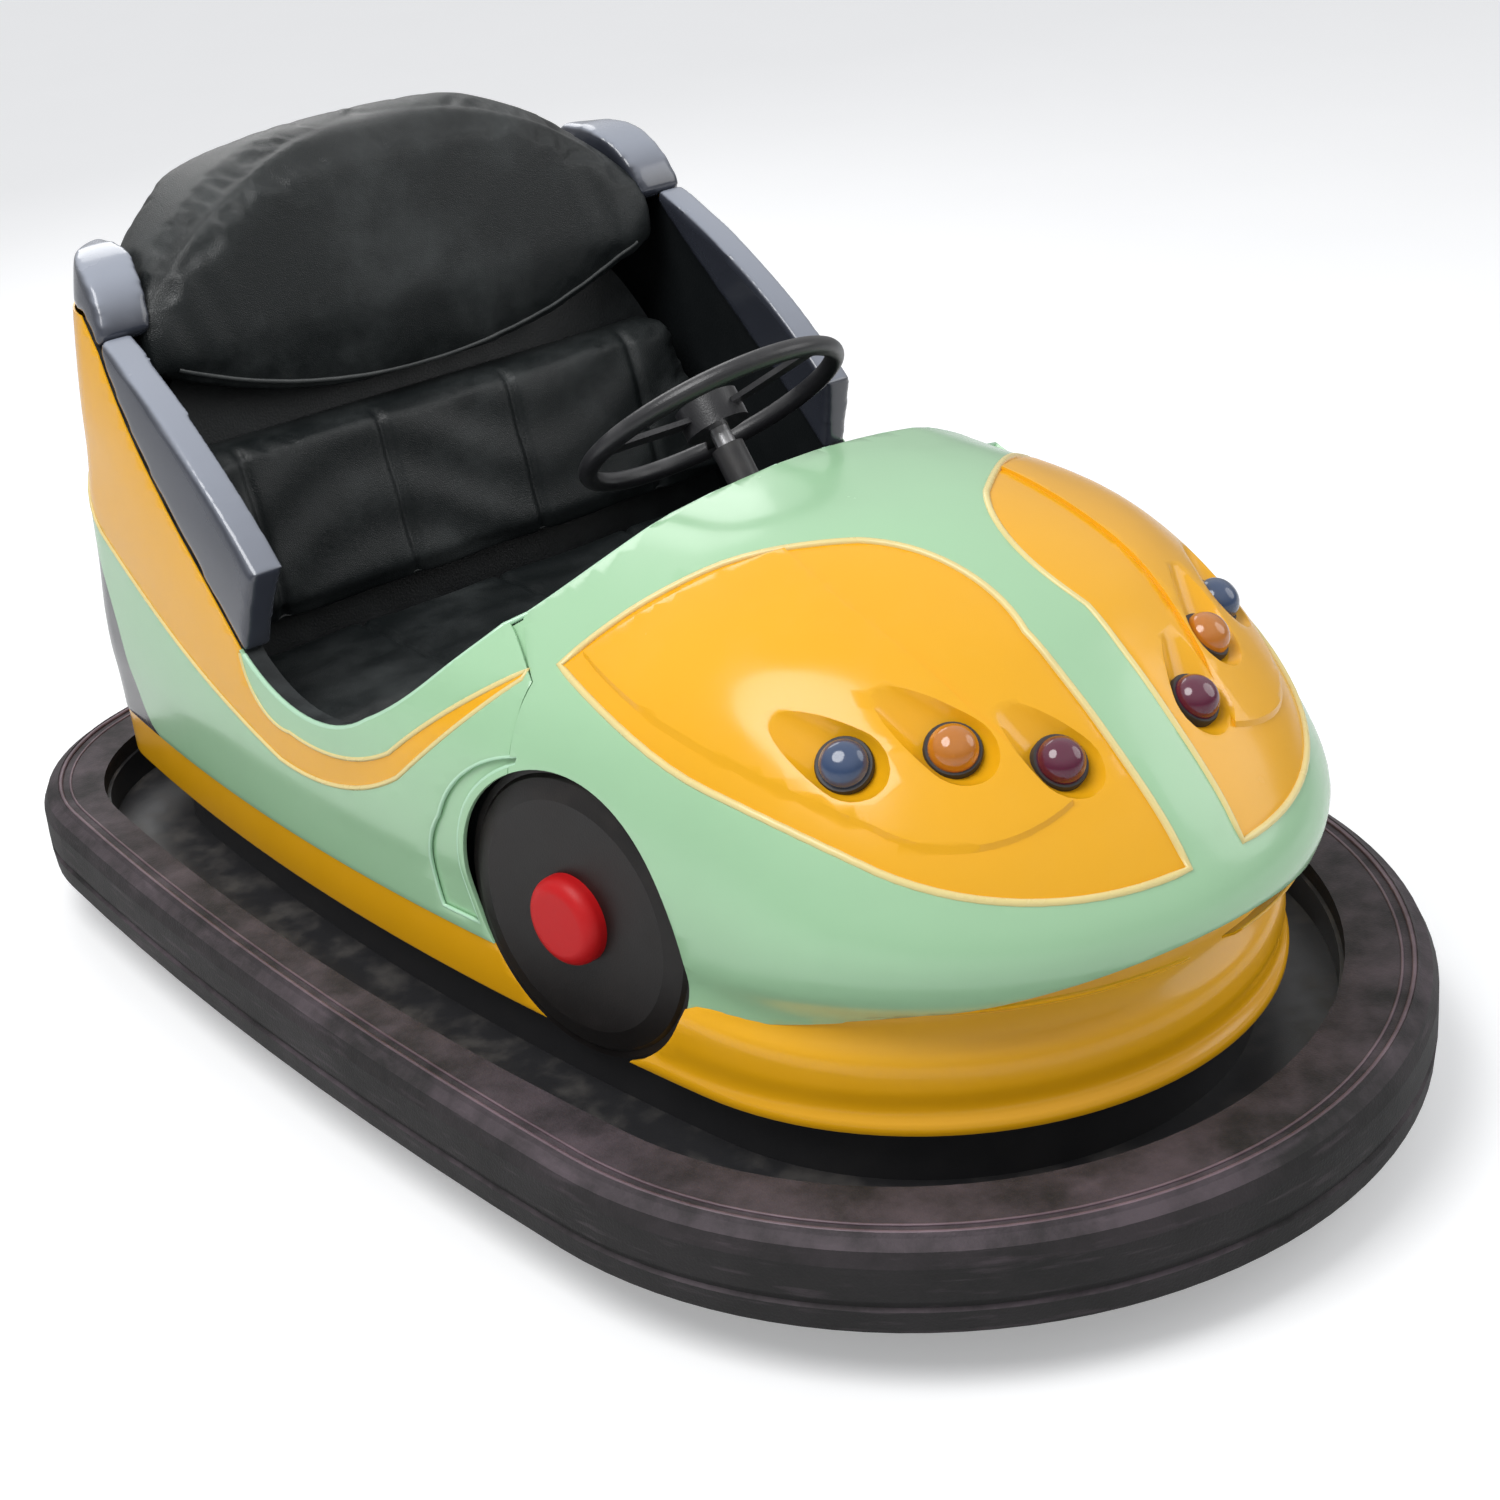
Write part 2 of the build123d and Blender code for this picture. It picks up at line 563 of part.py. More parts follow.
# ---- lamps, dummy wheels ---------------------------------------------------------------------------
for name, seat in lamp_seats.items():
    lamp = Cylinder(LAMP_R, LAMP_SINK, align=(Align.CENTER, Align.CENTER, Align.MAX))
    dome = revolve(Plane.XZ * make_face([
        Line((0, 0), (LAMP_R, 0)),
        ThreePointArc((LAMP_R, 0), (LAMP_R * 0.72, LAMP_R * 0.6), (0, LAMP_R * 0.85)),
        Line((0, LAMP_R * 0.85), (0, 0)),
    ]), Axis.Z)
    write_pair(f"lamp_{name}", seat * (lamp + dome))

DISC_DEPTH = 11.5
disc_edge = ARCH_R - FIT
disc_profile = make_face([Polyline(
    (0, 0), (DISC_R - 26, 0), (DISC_R - 4, -6), (DISC_R, -10), (disc_edge, -10),
    (disc_edge, -DISC_DEPTH), (0, -DISC_DEPTH), close=True,
)])
write_pair("wheel_cover", disc_axis * revolve(Plane.XZ * disc_profile, Axis.Z))
CAP_R = 50
CAP_H = 24
cap = Pos(0, 0, CAP_H / 2) * Cylinder(CAP_R, CAP_H)
cap = fillet(cap.edges().group_by(Axis.Z)[-1], CAP_H * 0.7)
write_pair("hub_cap", disc_axis * cap)
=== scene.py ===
import json
import math
import bmesh
import bpy
import numpy as np
from mathutils import Matrix, Vector
from mathutils.bvhtree import BVHTree

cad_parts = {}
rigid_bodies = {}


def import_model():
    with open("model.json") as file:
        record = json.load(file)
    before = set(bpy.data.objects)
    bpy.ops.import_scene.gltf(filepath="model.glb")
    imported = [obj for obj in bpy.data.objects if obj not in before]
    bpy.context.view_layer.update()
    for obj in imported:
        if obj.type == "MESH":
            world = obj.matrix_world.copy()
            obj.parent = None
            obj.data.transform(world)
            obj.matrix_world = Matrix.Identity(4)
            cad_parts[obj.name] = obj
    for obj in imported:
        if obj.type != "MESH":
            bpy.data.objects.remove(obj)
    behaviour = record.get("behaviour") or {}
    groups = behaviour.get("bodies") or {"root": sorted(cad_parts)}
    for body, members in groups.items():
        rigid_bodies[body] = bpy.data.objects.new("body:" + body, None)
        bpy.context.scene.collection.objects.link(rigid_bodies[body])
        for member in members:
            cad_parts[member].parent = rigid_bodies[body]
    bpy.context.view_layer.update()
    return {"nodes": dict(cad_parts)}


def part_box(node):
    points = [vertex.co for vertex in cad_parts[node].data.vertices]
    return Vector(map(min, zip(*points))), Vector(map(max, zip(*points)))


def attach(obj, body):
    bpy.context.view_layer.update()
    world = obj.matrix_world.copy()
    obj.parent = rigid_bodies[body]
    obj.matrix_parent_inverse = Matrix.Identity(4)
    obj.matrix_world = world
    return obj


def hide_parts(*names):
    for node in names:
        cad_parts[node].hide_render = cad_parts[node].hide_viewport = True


for leftover in list(bpy.data.objects):
    bpy.data.objects.remove(leftover)
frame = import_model()
nodes = frame["nodes"]


# ---- Chassis ---------------------------------------------------------
# The floor pan, plinth, rails, bumper channel, turntable posts and column are folded and welded
# steel, sprayed black. Track dust settles on them and the paint is rubbed dull in patches.
STEEL_BLACK = (0.022, 0.022, 0.024, 1)
TRACK_DUST = (0.16, 0.145, 0.13, 1)


def feed(tree, socket, value):
    """Gives a node's input a value, or links it to another node's output."""
    if isinstance(value, bpy.types.NodeSocket):
        tree.links.new(value, socket)
    else:
        socket.default_value = value


def add(tree, kind, settings=None, **wires):
    """A shader node; a wire named _0 goes to input 0, others to the input of that name."""
    made = tree.nodes.new(kind)
    for key, value in (settings or {}).items():
        setattr(made, key, value)
    for key, value in wires.items():
        feed(tree, made.inputs[int(key[1:])] if key[0] == "_" else made.inputs[key.replace("_", " ")], value)
    return made


def effect(name, inputs):
    """An empty shader node group with the given inputs and the three outputs every finish uses."""
    tree = bpy.data.node_groups.new(name, "ShaderNodeTree")
    for label, kind, value in inputs:
        socket = tree.interface.new_socket(label, in_out="INPUT", socket_type="NodeSocket" + kind)
        socket.default_value = value
    for label, kind in (("Color", "Color"), ("Roughness", "Float"), ("Height", "Float")):
        tree.interface.new_socket(label, in_out="OUTPUT", socket_type="NodeSocket" + kind)
    return tree, tree.nodes.new("NodeGroupInput").outputs, tree.nodes.new("NodeGroupOutput").inputs


def deliver(tree, out, *values):
    """Links an effect's three outputs: colour, roughness and height."""
    for value, socket in zip(values, out):
        tree.links.new(value, socket)


def mix(tree, kind, share, a, b):
    """A colour mix of a and b."""
    made = tree.nodes.new("ShaderNodeMix")
    made.data_type = "RGBA"
    made.blend_type = kind
    for socket, value in zip((made.inputs[0], made.inputs[6], made.inputs[7]), (share, a, b)):
        feed(tree, socket, value)
    return made.outputs[2]


def maths(tree, kind, a, b=0.0, c=0.0):
    return add(tree, "ShaderNodeMath", {"operation": kind}, _0=a, _1=b, _2=c).outputs[0]


def spread(tree, value, low, high, to_low=0.0, to_high=1.0):
    """The value from low to high, mapped and held between two others."""
    made = add(tree, "ShaderNodeMapRange", {"interpolation_type": "SMOOTHSTEP"}, Value=value)
    for key, number in zip(("From Min", "From Max", "To Min", "To Max"), (low, high, to_low, to_high)):
        feed(tree, made.inputs[key], number)
    return made.outputs[0]


def times(tree, a, b):
    return maths(tree, "MULTIPLY", a, b)


def noise(tree, where, scale, detail=2.0, **more):
    """A noise value from 0 to 1."""
    return add(tree, "ShaderNodeTexNoise", Vector=where, Scale=scale, Detail=detail, **more).outputs["Fac"]


def own_place(tree):
    """The point in the piece's own axes."""
    return add(tree, "ShaderNodeTexCoord").outputs["Object"]


def part_of(tree, vector, axis):
    """One of the X, Y and Z numbers of a vector."""
    return add(tree, "ShaderNodeSeparateXYZ", Vector=vector).outputs[axis]


def upward(tree):
    """How far the surface faces up, from -1 to 1."""
    return part_of(tree, add(tree, "ShaderNodeNewGeometry").outputs["Normal"], "Z")


# Sprayed or moulded coat: slow colour drift, fine orange peel, dust on what faces up, dull rubs.
coat_effect, given, out = effect("coat_film", [
    ("Paint", "Color", STEEL_BLACK), ("Dust", "Color", TRACK_DUST), ("Dust Amount", "Float", 0.3),
    ("Gloss", "Float", 0.4), ("Drift", "Float", 0.06), ("Peel Scale", "Float", 500.0),
])
where = own_place(coat_effect)
slow = noise(coat_effect, where, 5.0, 3.0)
patch = noise(coat_effect, where, 22.0, 6.0)
peel = noise(coat_effect, where, given["Peel Scale"])
lying = spread(coat_effect, upward(coat_effect), -0.2, 0.9)
drift = maths(coat_effect, "MULTIPLY_ADD", maths(coat_effect, "SUBTRACT", slow, 0.5), given["Drift"], 1.0)
drift_grey = add(coat_effect, "ShaderNodeCombineColor", Red=drift, Green=drift, Blue=drift).outputs[0]
drifted = mix(coat_effect, "MULTIPLY", 1.0, given["Paint"], drift_grey)
settled = times(coat_effect, spread(coat_effect, patch, 0.42, 0.75), lying)
dusty = times(coat_effect, settled, given["Dust Amount"])
dusted = mix(coat_effect, "MIX", dusty, drifted, given["Dust"])
rubbed = maths(coat_effect, "MULTIPLY_ADD", maths(coat_effect, "SUBTRACT", patch, 0.5), 0.18, given["Gloss"])
deliver(coat_effect, out, dusted, maths(coat_effect, "MULTIPLY_ADD", dusty, 0.4, rubbed), peel)


def finish(name, effect_tree, bump, looks, **fixed):
    """A material: an effect group's outputs on a Principled shader, its other sockets set here."""
    made = bpy.data.materials.new(name)
    made.use_nodes = True
    tree = made.node_tree
    shader = tree.nodes["Principled BSDF"]
    look = tree.nodes.new("ShaderNodeGroup")
    look.node_tree = effect_tree
    for key, value in looks.items():
        look.inputs[key].default_value = value
    relief = add(tree, "ShaderNodeBump", Height=look.outputs["Height"], Strength=bump[0], Distance=bump[1])
    tree.links.new(look.outputs["Color"], shader.inputs["Base Color"])
    tree.links.new(look.outputs["Roughness"], shader.inputs["Roughness"])
    tree.links.new(relief.outputs["Normal"], shader.inputs["Normal"])
    for key, value in fixed.items():
        shader.inputs[key.replace("_", " ")].default_value = value
    return made


def dress(material, *names):
    for name in names:
        nodes[name].material_slots[0].material = material


chassis_black = finish("chassis_black", coat_effect, (0.25, 0.0006), {"Gloss": 0.42, "Dust Amount": 0.35})
dress(chassis_black, "floor_pan", "body_plinth", "chassis_rails", "bumper_channel")
dress(chassis_black, "turntable_posts", "drive_yoke", "column_tube")


# ---- Running gear ----------------------------------------------------
# Cast iron hubs and a turned steel axle and turntable ring, left bare and a little oily; the
# gear motor is sprayed dark blue-grey; solid rubber tyres are pressed on the hubs.
metal_effect, given, out = effect("turned_metal", [
    ("Metal", "Color", (0.42, 0.42, 0.43, 1)), ("Grime", "Color", (0.05, 0.04, 0.035, 1)),
    ("Grime Amount", "Float", 0.5), ("Polish", "Float", 0.35), ("Grain Scale", "Float", 220.0),
])
where = own_place(metal_effect)
grain = noise(metal_effect, where, given["Grain Scale"], 4.0)
stain = noise(metal_effect, where, 30.0, 6.0)
soiled = times(metal_effect, spread(metal_effect, stain, 0.45, 0.7), given["Grime Amount"])
tinted = mix(metal_effect, "MIX", soiled, given["Metal"], given["Grime"])
deliver(metal_effect, out, tinted, maths(metal_effect, "MULTIPLY_ADD", grain, 0.2, given["Polish"]), grain)
bare_steel = finish("bare_steel", metal_effect, (0.3, 0.0004), {
    "Polish": 0.22, "Grime Amount": 0.35,
}, Metallic=1.0)
cast_iron = finish("cast_iron", metal_effect, (0.8, 0.0012), {
    "Metal": (0.16, 0.16, 0.165, 1), "Polish": 0.5, "Grain Scale": 160.0,
}, Metallic=0.8)
motor_enamel = finish("motor_enamel", coat_effect, (0.3, 0.0006), {
    "Paint": (0.02, 0.03, 0.045, 1), "Gloss": 0.35, "Dust Amount": 0.5,
})
dress(bare_steel, "rear_axle", "turntable_ring", "steering_shaft", "foot_pedal")
dress(cast_iron, "rear_hub_left", "rear_hub_right", "drive_hub")
dress(motor_enamel, "drive_motor")

rubber_effect, given, out = effect("worn_rubber", [
    ("Rubber", "Color", (0.02, 0.02, 0.021, 1)), ("Bloom", "Color", (0.11, 0.095, 0.10, 1)),
    ("Bloom Amount", "Float", 0.4), ("Matt", "Float", 0.75), ("Grit Scale", "Float", 350.0),
])
where = own_place(rubber_effect)
grit = noise(rubber_effect, where, given["Grit Scale"], 3.0)
cloud = noise(rubber_effect, where, 9.0, 7.0, Roughness=0.65)
stretched = add(rubber_effect, "ShaderNodeMapping", Vector=where, Scale=(1.0, 1.0, 9.0)).outputs[0]
smears = noise(rubber_effect, stretched, 14.0, 5.0)
open_top = spread(rubber_effect, upward(rubber_effect), 0.2, 0.95, 0.08, 1.0)
clouded = times(rubber_effect, spread(rubber_effect, cloud, 0.3, 0.75), open_top)
smeared = times(rubber_effect, spread(rubber_effect, smears, 0.55, 0.75), 0.35)
bloomed = times(rubber_effect, maths(rubber_effect, "ADD", clouded, smeared), given["Bloom Amount"])
tinted = mix(rubber_effect, "MIX", bloomed, given["Rubber"], given["Bloom"])
dull = maths(rubber_effect, "ADD", given["Matt"], 0.1)
deliver(rubber_effect, out, tinted, maths(rubber_effect, "MULTIPLY_ADD", cloud, -0.25, dull), grit)
tyre_rubber = finish("tyre_rubber", rubber_effect, (0.5, 0.0008), {"Bloom Amount": 0.5})
dress(tyre_rubber, "rear_tyre_left", "rear_tyre_right", "drive_tyre")


def placed(name, data):
    """A new object in the scene."""
    made = bpy.data.objects.new(name, data)
    bpy.context.scene.collection.objects.link(made)
    return made


def ribbon(name, points, radius, material, closed=True):
    """A round bead laid along a line of points."""
    line = bpy.data.curves.new(name, "CURVE")
    line.dimensions = "3D"
    line.bevel_depth = radius
    line.bevel_resolution = 2
    run = line.splines.new("POLY")
    run.points.add(len(points) - 1)
    for point, place in zip(run.points, points):
        point.co = (*place, 1)
    run.use_cyclic_u = closed
    line.materials.append(material)
    piece = placed(name, line)
    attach(piece, "chassis")


# ---- Bumper ----------------------------------------------------------
# One thick rubber tube all round, bolted in its steel channel. Its upper face is flat and dusty,
# and two raised beads run along it where it was moulded, rubbed to a pinkish grey.
BEAD_INSETS = (0.027, 0.040)
BEAD_R = (0.0030, 0.0018)
BUMPER_DARK = (0.012, 0.0115, 0.0115, 1)
BUMPER_BLOOM = (0.115, 0.088, 0.103, 1)
bumper_rubber = finish("bumper_rubber", rubber_effect, (0.6, 0.0012), {
    "Rubber": BUMPER_DARK, "Bloom": BUMPER_BLOOM, "Bloom Amount": 0.75, "Matt": 0.66,
}, Specular_IOR_Level=0.3)
bead_rubber = finish("bead_rubber", rubber_effect, (0.4, 0.0008), {
    "Rubber": (0.075, 0.045, 0.055, 1), "Bloom": (0.22, 0.15, 0.18, 1), "Bloom Amount": 0.8, "Matt": 0.5,
})
dress(bumper_rubber, "bumper_tube")


def rays_of(piece):
    """A ray tree of a piece's mesh."""
    mesh = piece.data
    return BVHTree.FromPolygons([v.co[:] for v in mesh.vertices], [p.vertices[:] for p in mesh.polygons])


tube_low, tube_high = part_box("bumper_tube")
tube_rays = rays_of(nodes["bumper_tube"])
mid_z = (tube_low.z + tube_high.z) / 2
rim_points, rim_inward = [], []
BEAD_STEPS = 240
for step in range(BEAD_STEPS):
    turn = 2 * math.pi * step / BEAD_STEPS
    # Rays start on a stretched circle, so that they meet the long sides evenly.
    start = Vector((1.3 * math.cos(turn), 1.5 * math.sin(turn), mid_z))
    aim = Vector((0.25 * math.cos(turn), 0.62 * math.sin(turn), mid_z)) - start
    hit, normal, _, _ = tube_rays.ray_cast(start, aim.normalized())
    rim_points.append(hit)
    rim_inward.append(-Vector((normal.x, normal.y, 0)).normalized())
for number, (inset, radius) in enumerate(zip(BEAD_INSETS, BEAD_R)):
    bead = []
    for hit, inward in zip(rim_points, rim_inward):
        above = hit + inset * inward
        top = tube_rays.ray_cast(Vector((above.x, above.y, 1.0)), Vector((0, 0, -1)))[0]
        bead.append(top)
    ribbon(f"bumper_bead_{number + 1}", bead, radius, bead_rubber)


# ---- Body shells -----------------------------------------------------
# Two glass-fibre mouldings with a gloss gel coat, pale mint outside: the domed hood and the tub, the tub's
# colour turning dark grey behind a drawn line on its tail. Their edges are rolled; the seam between them
# stays open.
MINT = (0.355, 0.60, 0.36, 1)
# The paler mint below paints the highlight along the rolled lips.
MINT_HIGHLIGHT = (0.47, 0.74, 0.52, 1)
TAIL_GREY = (0.04, 0.04, 0.045, 1)
# Where the dark tail begins, in metres: height, then distance behind the car's middle.
TAIL_EDGE = [
    (0.0, 0.56), (0.24, 0.57), (0.27, 0.616), (0.325, 0.637), (0.41, 0.649), (0.51, 0.69), (1.0, 0.80),
]
# Rows of the two surfaces in millimetres: height, nose, half width, how much narrower the nose
# circle is, where the sides are widest, tail, and how far an inset row also sinks.
LOWER_ROWS = [
    (180, -792, 456, 70, 330, 880, 0), (310, -800, 462, 80, 330, 874, 0), (350, -852, 465, 86, 330, 870, 0),
    (404, -874, 466, 90, 330, 862, 0), (470, -838, 465, 95, 330, 850, 1),
]
HOOD_ROWS = LOWER_ROWS + [
    (560, -747, 436, 88, 330, 832, 1), (600, -697, 376, 50, 330, 820, 1), (640, -638, 303, 20, 330, 800, 1),
    (670, -562, 247, 16, 330, 780, 1), (693, -485, 190, 12, 330, 760, 1), (704, -425, 130, 9, 330, 740, 1),
    (711, -330, 66, 6, 330, 720, 1), (713.5, -294, 28, 3, 330, 700, 1),
]
TUB_ROWS = LOWER_ROWS + [
    (560, -726, 463, 133, 400, 832, 1), (640, -528, 460, 232, 440, 815, 1),
    (700, -500, 455, 240, 480, 802, 1), (760, -450, 448, 240, 520, 793, 1),
    (830, -400, 437, 240, 560, 787, 1), (1010, -300, 395, 230, 560, 765, 1),
]
TAIL_R = 900
CORNER_R = 130
ARCH = (405, -325, 338)
ARCH_R = 165
ARCH_TOE, ARCH_LEAN = 9.6, 3.0
ARCH_REACH = 90
# How far cutting shapes reach: to each side, beyond the ends, and above, in millimetres.
REACH, FAR, HIGH = 700, 1100, 900
MM = 0.001
# In metres: wall, rounded edge, welding distances; in radians: the sharpest turn shaded smooth.
SHELL_T = 0.005
EDGE_ROUND = 0.0012
WELD, SLIVER = 0.00005, 0.0002
SOFT_VOXEL = 0.004
SMOOTH_TURN, SOFT_TURN = 0.7, 1.2


def arc(a, b, c, count=16):
    """Points from a through b to c on one circle."""
    (ax, ay), (bx, by), (cx, cy) = a, b, c
    area = 2 * (ax * (by - cy) + bx * (cy - ay) + cx * (ay - by))
    aa, bb, cc = ax * ax + ay * ay, bx * bx + by * by, cx * cx + cy * cy
    mid_x = (aa * (by - cy) + bb * (cy - ay) + cc * (ay - by)) / area
    mid_y = (aa * (cx - bx) + bb * (ax - cx) + cc * (bx - ax)) / area
    turn = [math.atan2(y - mid_y, x - mid_x) for x, y in (a, b, c)]
    whole = 2 * math.pi
    sweep = (turn[2] - turn[0]) % whole
    if (turn[1] - turn[0]) % whole > sweep:
        sweep -= whole
    radius = math.hypot(ax - mid_x, ay - mid_y)
    marks = [turn[0] + sweep * k / count for k in range(count + 1)]
    return [(mid_x + radius * math.cos(t), mid_y + radius * math.sin(t)) for t in marks]


def arcs(*points):
    """Joined arcs: each starts where the last ended and runs through the next two points."""
    line = arc(*points[:3])
    for k in range(2, len(points) - 1, 2):
        line += arc(*points[k:k + 3])[1:]
    return line


def toward(centre, point, reach):
    """The point of a circle about the centre that lies in the direction of the given one."""
    return centre + reach * (point - centre) / np.linalg.norm(point - centre)


def plan_loop(row, inset):
    """A closed outline of tangent arcs: round nose, bulged sides, two corners and a bowed tail."""
    z, nose_y, half, taper, wide_y, tail_y, drop = row
    nose, nose_r, half = np.array((0.0, nose_y + half - taper)), half - taper - inset, half - inset
    reach = wide_y - nose[1]
    side_r = (half * half + reach * reach - nose_r * nose_r) / (2 * taper)
    side, tail = np.array((half - side_r, wide_y)), np.array((0.0, tail_y - TAIL_R))
    corner_r = min(CORNER_R, row[2] / 2) - inset
    ra, rb = side_r - corner_r, TAIL_R - inset - corner_r
    gap = np.linalg.norm(tail - side)
    along = (ra * ra - rb * rb + gap * gap) / (2 * gap)
    off = math.sqrt(ra * ra - along * along)
    across = (tail - side) / gap
    corner = side + along * across + off * np.array((-across[1], across[0]))
    if corner.sum() < (side + along * across).sum():
        corner = side + along * across - off * np.array((-across[1], across[0]))
    marks = [
        (nose, nose_r, np.array((0.0, nose_y + inset)), toward(side, nose, side_r), 24),
        (side, side_r, toward(side, nose, side_r), toward(side, corner, side_r), 44),
        (corner, corner_r, toward(side, corner, side_r), toward(tail, corner, TAIL_R - inset), 12),
        (tail, TAIL_R - inset, toward(tail, corner, TAIL_R - inset), np.array((0.0, tail_y - inset)), 14),
    ]
    right = []
    for centre, radius, start, end, count in marks:
        one, two = math.atan2(*(start - centre)[::-1]), math.atan2(*(end - centre)[::-1])
        sweep = (two - one + math.pi) % (2 * math.pi) - math.pi
        turns = one + sweep * np.arange(count) / count
        right += [centre + radius * np.array((math.cos(t), math.sin(t))) for t in turns]
    right.append(np.array((0.0, tail_y - inset)))
    left = [np.array((-p[0], p[1])) for p in right[-2:0:-1]]
    return np.array([(*p, z - inset * drop) for p in right + left])


def solid_of(points, loops, part=0):
    """A mesh object of closed faces; part is the material number its faces carry."""
    mesh = bpy.data.meshes.new("solid")
    mesh.from_pydata([tuple(p) for p in np.asarray(points) * MM], [], loops)
    mesh.materials.append(None)
    mesh.materials.append(None)
    mesh.polygons.foreach_set("material_index", [part] * len(mesh.polygons))
    return placed("solid", mesh)


def lofted(rows, inset=0, rise=10):
    """The closed solid inside a body surface: a smooth curve in height through every row."""
    loops = np.array([plan_loop(row, inset) for row in rows])
    gaps = np.linalg.norm(np.diff(loops, axis=0), axis=2).mean(1)
    slopes = np.diff(loops, axis=0) / gaps[:, None, None]
    lean = np.empty_like(loops)
    lean[0], lean[-1] = slopes[0], slopes[-1]
    share = (gaps[1:] / (gaps[1:] + gaps[:-1]))[:, None, None]
    lean[1:-1] = share * slopes[:-1] + (1 - share) * slopes[1:]
    rings = []
    for k, gap in enumerate(gaps):
        count = max(2, int(gap / rise))
        for t in np.arange(count) / count:
            h = (2 * t**3 - 3 * t**2 + 1, t**3 - 2 * t**2 + t, 3 * t**2 - 2 * t**3, t**3 - t**2)
            ring = h[0] * loops[k] + h[1] * gap * lean[k] + h[2] * loops[k + 1]
            rings.append(ring + h[3] * gap * lean[k + 1])
    rings.append(loops[-1])
    size, high = loops.shape[1], len(rings)
    faces = [
        (j * size + i, j * size + (i + 1) % size, (j + 1) * size + (i + 1) % size, (j + 1) * size + i)
        for j in range(high - 1) for i in range(size)
    ]
    faces += [tuple(range(size))[::-1], tuple(range((high - 1) * size, high * size))]
    return solid_of(np.concatenate(rings), faces)


def prism(outline, low=-REACH, high=REACH, view="side", part=1):
    """A straight solid on a closed outline: side (y, z), plan (x, y) or front (x, z) view."""
    outline = np.array([p for p, q in zip(outline, outline[1:] + outline[:1]) if math.dist(p, q) > 0.01])
    after = np.roll(outline, -1, axis=0)
    if np.sum(outline[:, 0] * after[:, 1] - after[:, 0] * outline[:, 1]) < 0:
        outline = outline[::-1]
    size = len(outline)
    if view == "side":
        points = [(h, *p) for h in (low, high) for p in outline]
    elif view == "plan":
        points = [(*p, h) for h in (low, high) for p in outline]
    else:
        points = [(p[0], h, p[1]) for h in (low, high) for p in outline]
    faces = [(i, (i + 1) % size, size + (i + 1) % size, size + i) for i in range(size)]
    faces += [tuple(range(size))[::-1], tuple(range(size, 2 * size))]
    if view == "front":
        faces = [face[::-1] for face in faces]
    return solid_of(points, faces, part)


def half_prism(outline, side, near=0, part=1):
    """A side-view prism through one half of the car: from near the middle out past its side."""
    low, high = sorted((side * near, side * REACH))
    return prism(outline, low, high, "side", part)


def turned(profile, matrix, part=0, sides=32):
    """A solid of revolution: profile points are (along, radius), about the matrix's own X axis."""
    points, rings = [], []
    for along, radius in profile:
        ring = []
        for k in range(sides if radius > 0.001 else 1):
            angle = 2 * math.pi * k / sides
            ring.append(len(points))
            points.append(matrix @ Vector((along, radius * math.cos(angle), radius * math.sin(angle))))
        rings.append(ring)
    faces = []
    for one, two in zip(rings, rings[1:]):
        for k in range(sides):
            a, b = one[k % len(one)], one[(k + 1) % len(one)]
            c, d = two[(k + 1) % len(two)], two[k % len(two)]
            faces.append(tuple(dict.fromkeys((a, b, c, d))))
    if len(rings[0]) > 1:
        faces.append(tuple(rings[0][::-1]))
    if len(rings[-1]) > 1:
        faces.append(tuple(rings[-1]))
    return solid_of(points, faces, part)


def taken(piece):
    """The piece's mesh with its modifiers applied."""
    shown = piece.evaluated_get(bpy.context.evaluated_depsgraph_get())
    return bpy.data.meshes.new_from_object(shown)


def carved(solid, kind, *cutters):
    """The solid joined with, cut by or limited to the others, which are used up."""
    for cutter in cutters:
        step = solid.modifiers.new("cut", "BOOLEAN")
        step.operation, step.solver, step.object = kind, "EXACT", cutter
        mesh = taken(solid)
        solid.modifiers.clear()
        solid.data = mesh
        bpy.data.objects.remove(cutter)
    return solid


def is_cut(face):
    """A face left by a cutting shape."""
    return face.material_index == 1


def panelled(solid, name, material, thick, rounding, node, drop=is_cut, soft=0):
    """Makes a carved solid a visible panel: cut faces dropped, a wall given, edges rounded or softened."""
    work = bmesh.new()
    work.from_mesh(solid.data)
    bmesh.ops.delete(work, geom=[face for face in work.faces if drop(face)], context="FACES")
    bmesh.ops.remove_doubles(work, verts=work.verts, dist=WELD)
    bmesh.ops.dissolve_degenerate(work, edges=work.edges, dist=SLIVER)
    work.to_mesh(solid.data)
    work.free()
    if thick:
        wall = solid.modifiers.new("wall", "SOLIDIFY")
        wall.thickness, wall.offset = thick, -1
    if rounding:
        edge = solid.modifiers.new("edge", "BEVEL")
        edge.width, edge.segments = rounding, 2
        edge.limit_method, edge.angle_limit = "ANGLE", SMOOTH_TURN
    if soft:
        voxels = solid.modifiers.new("voxels", "REMESH")
        voxels.mode, voxels.voxel_size = "VOXEL", SOFT_VOXEL
        solid.modifiers.new("soften", "SMOOTH").iterations = soft
    mesh = taken(solid)
    solid.modifiers.clear()
    mesh.polygons.foreach_set("use_smooth", [True] * len(mesh.polygons))
    mesh.set_sharp_from_angle(angle=SOFT_TURN if soft else SMOOTH_TURN)
    mesh.polygons.foreach_set("material_index", [0] * len(mesh.polygons))
    mesh.materials.clear()
    mesh.materials.append(material)
    solid.data, solid.name = mesh, name
    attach(solid, "chassis")
    if node:
        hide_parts(*([node] if isinstance(node, str) else node))
    return solid


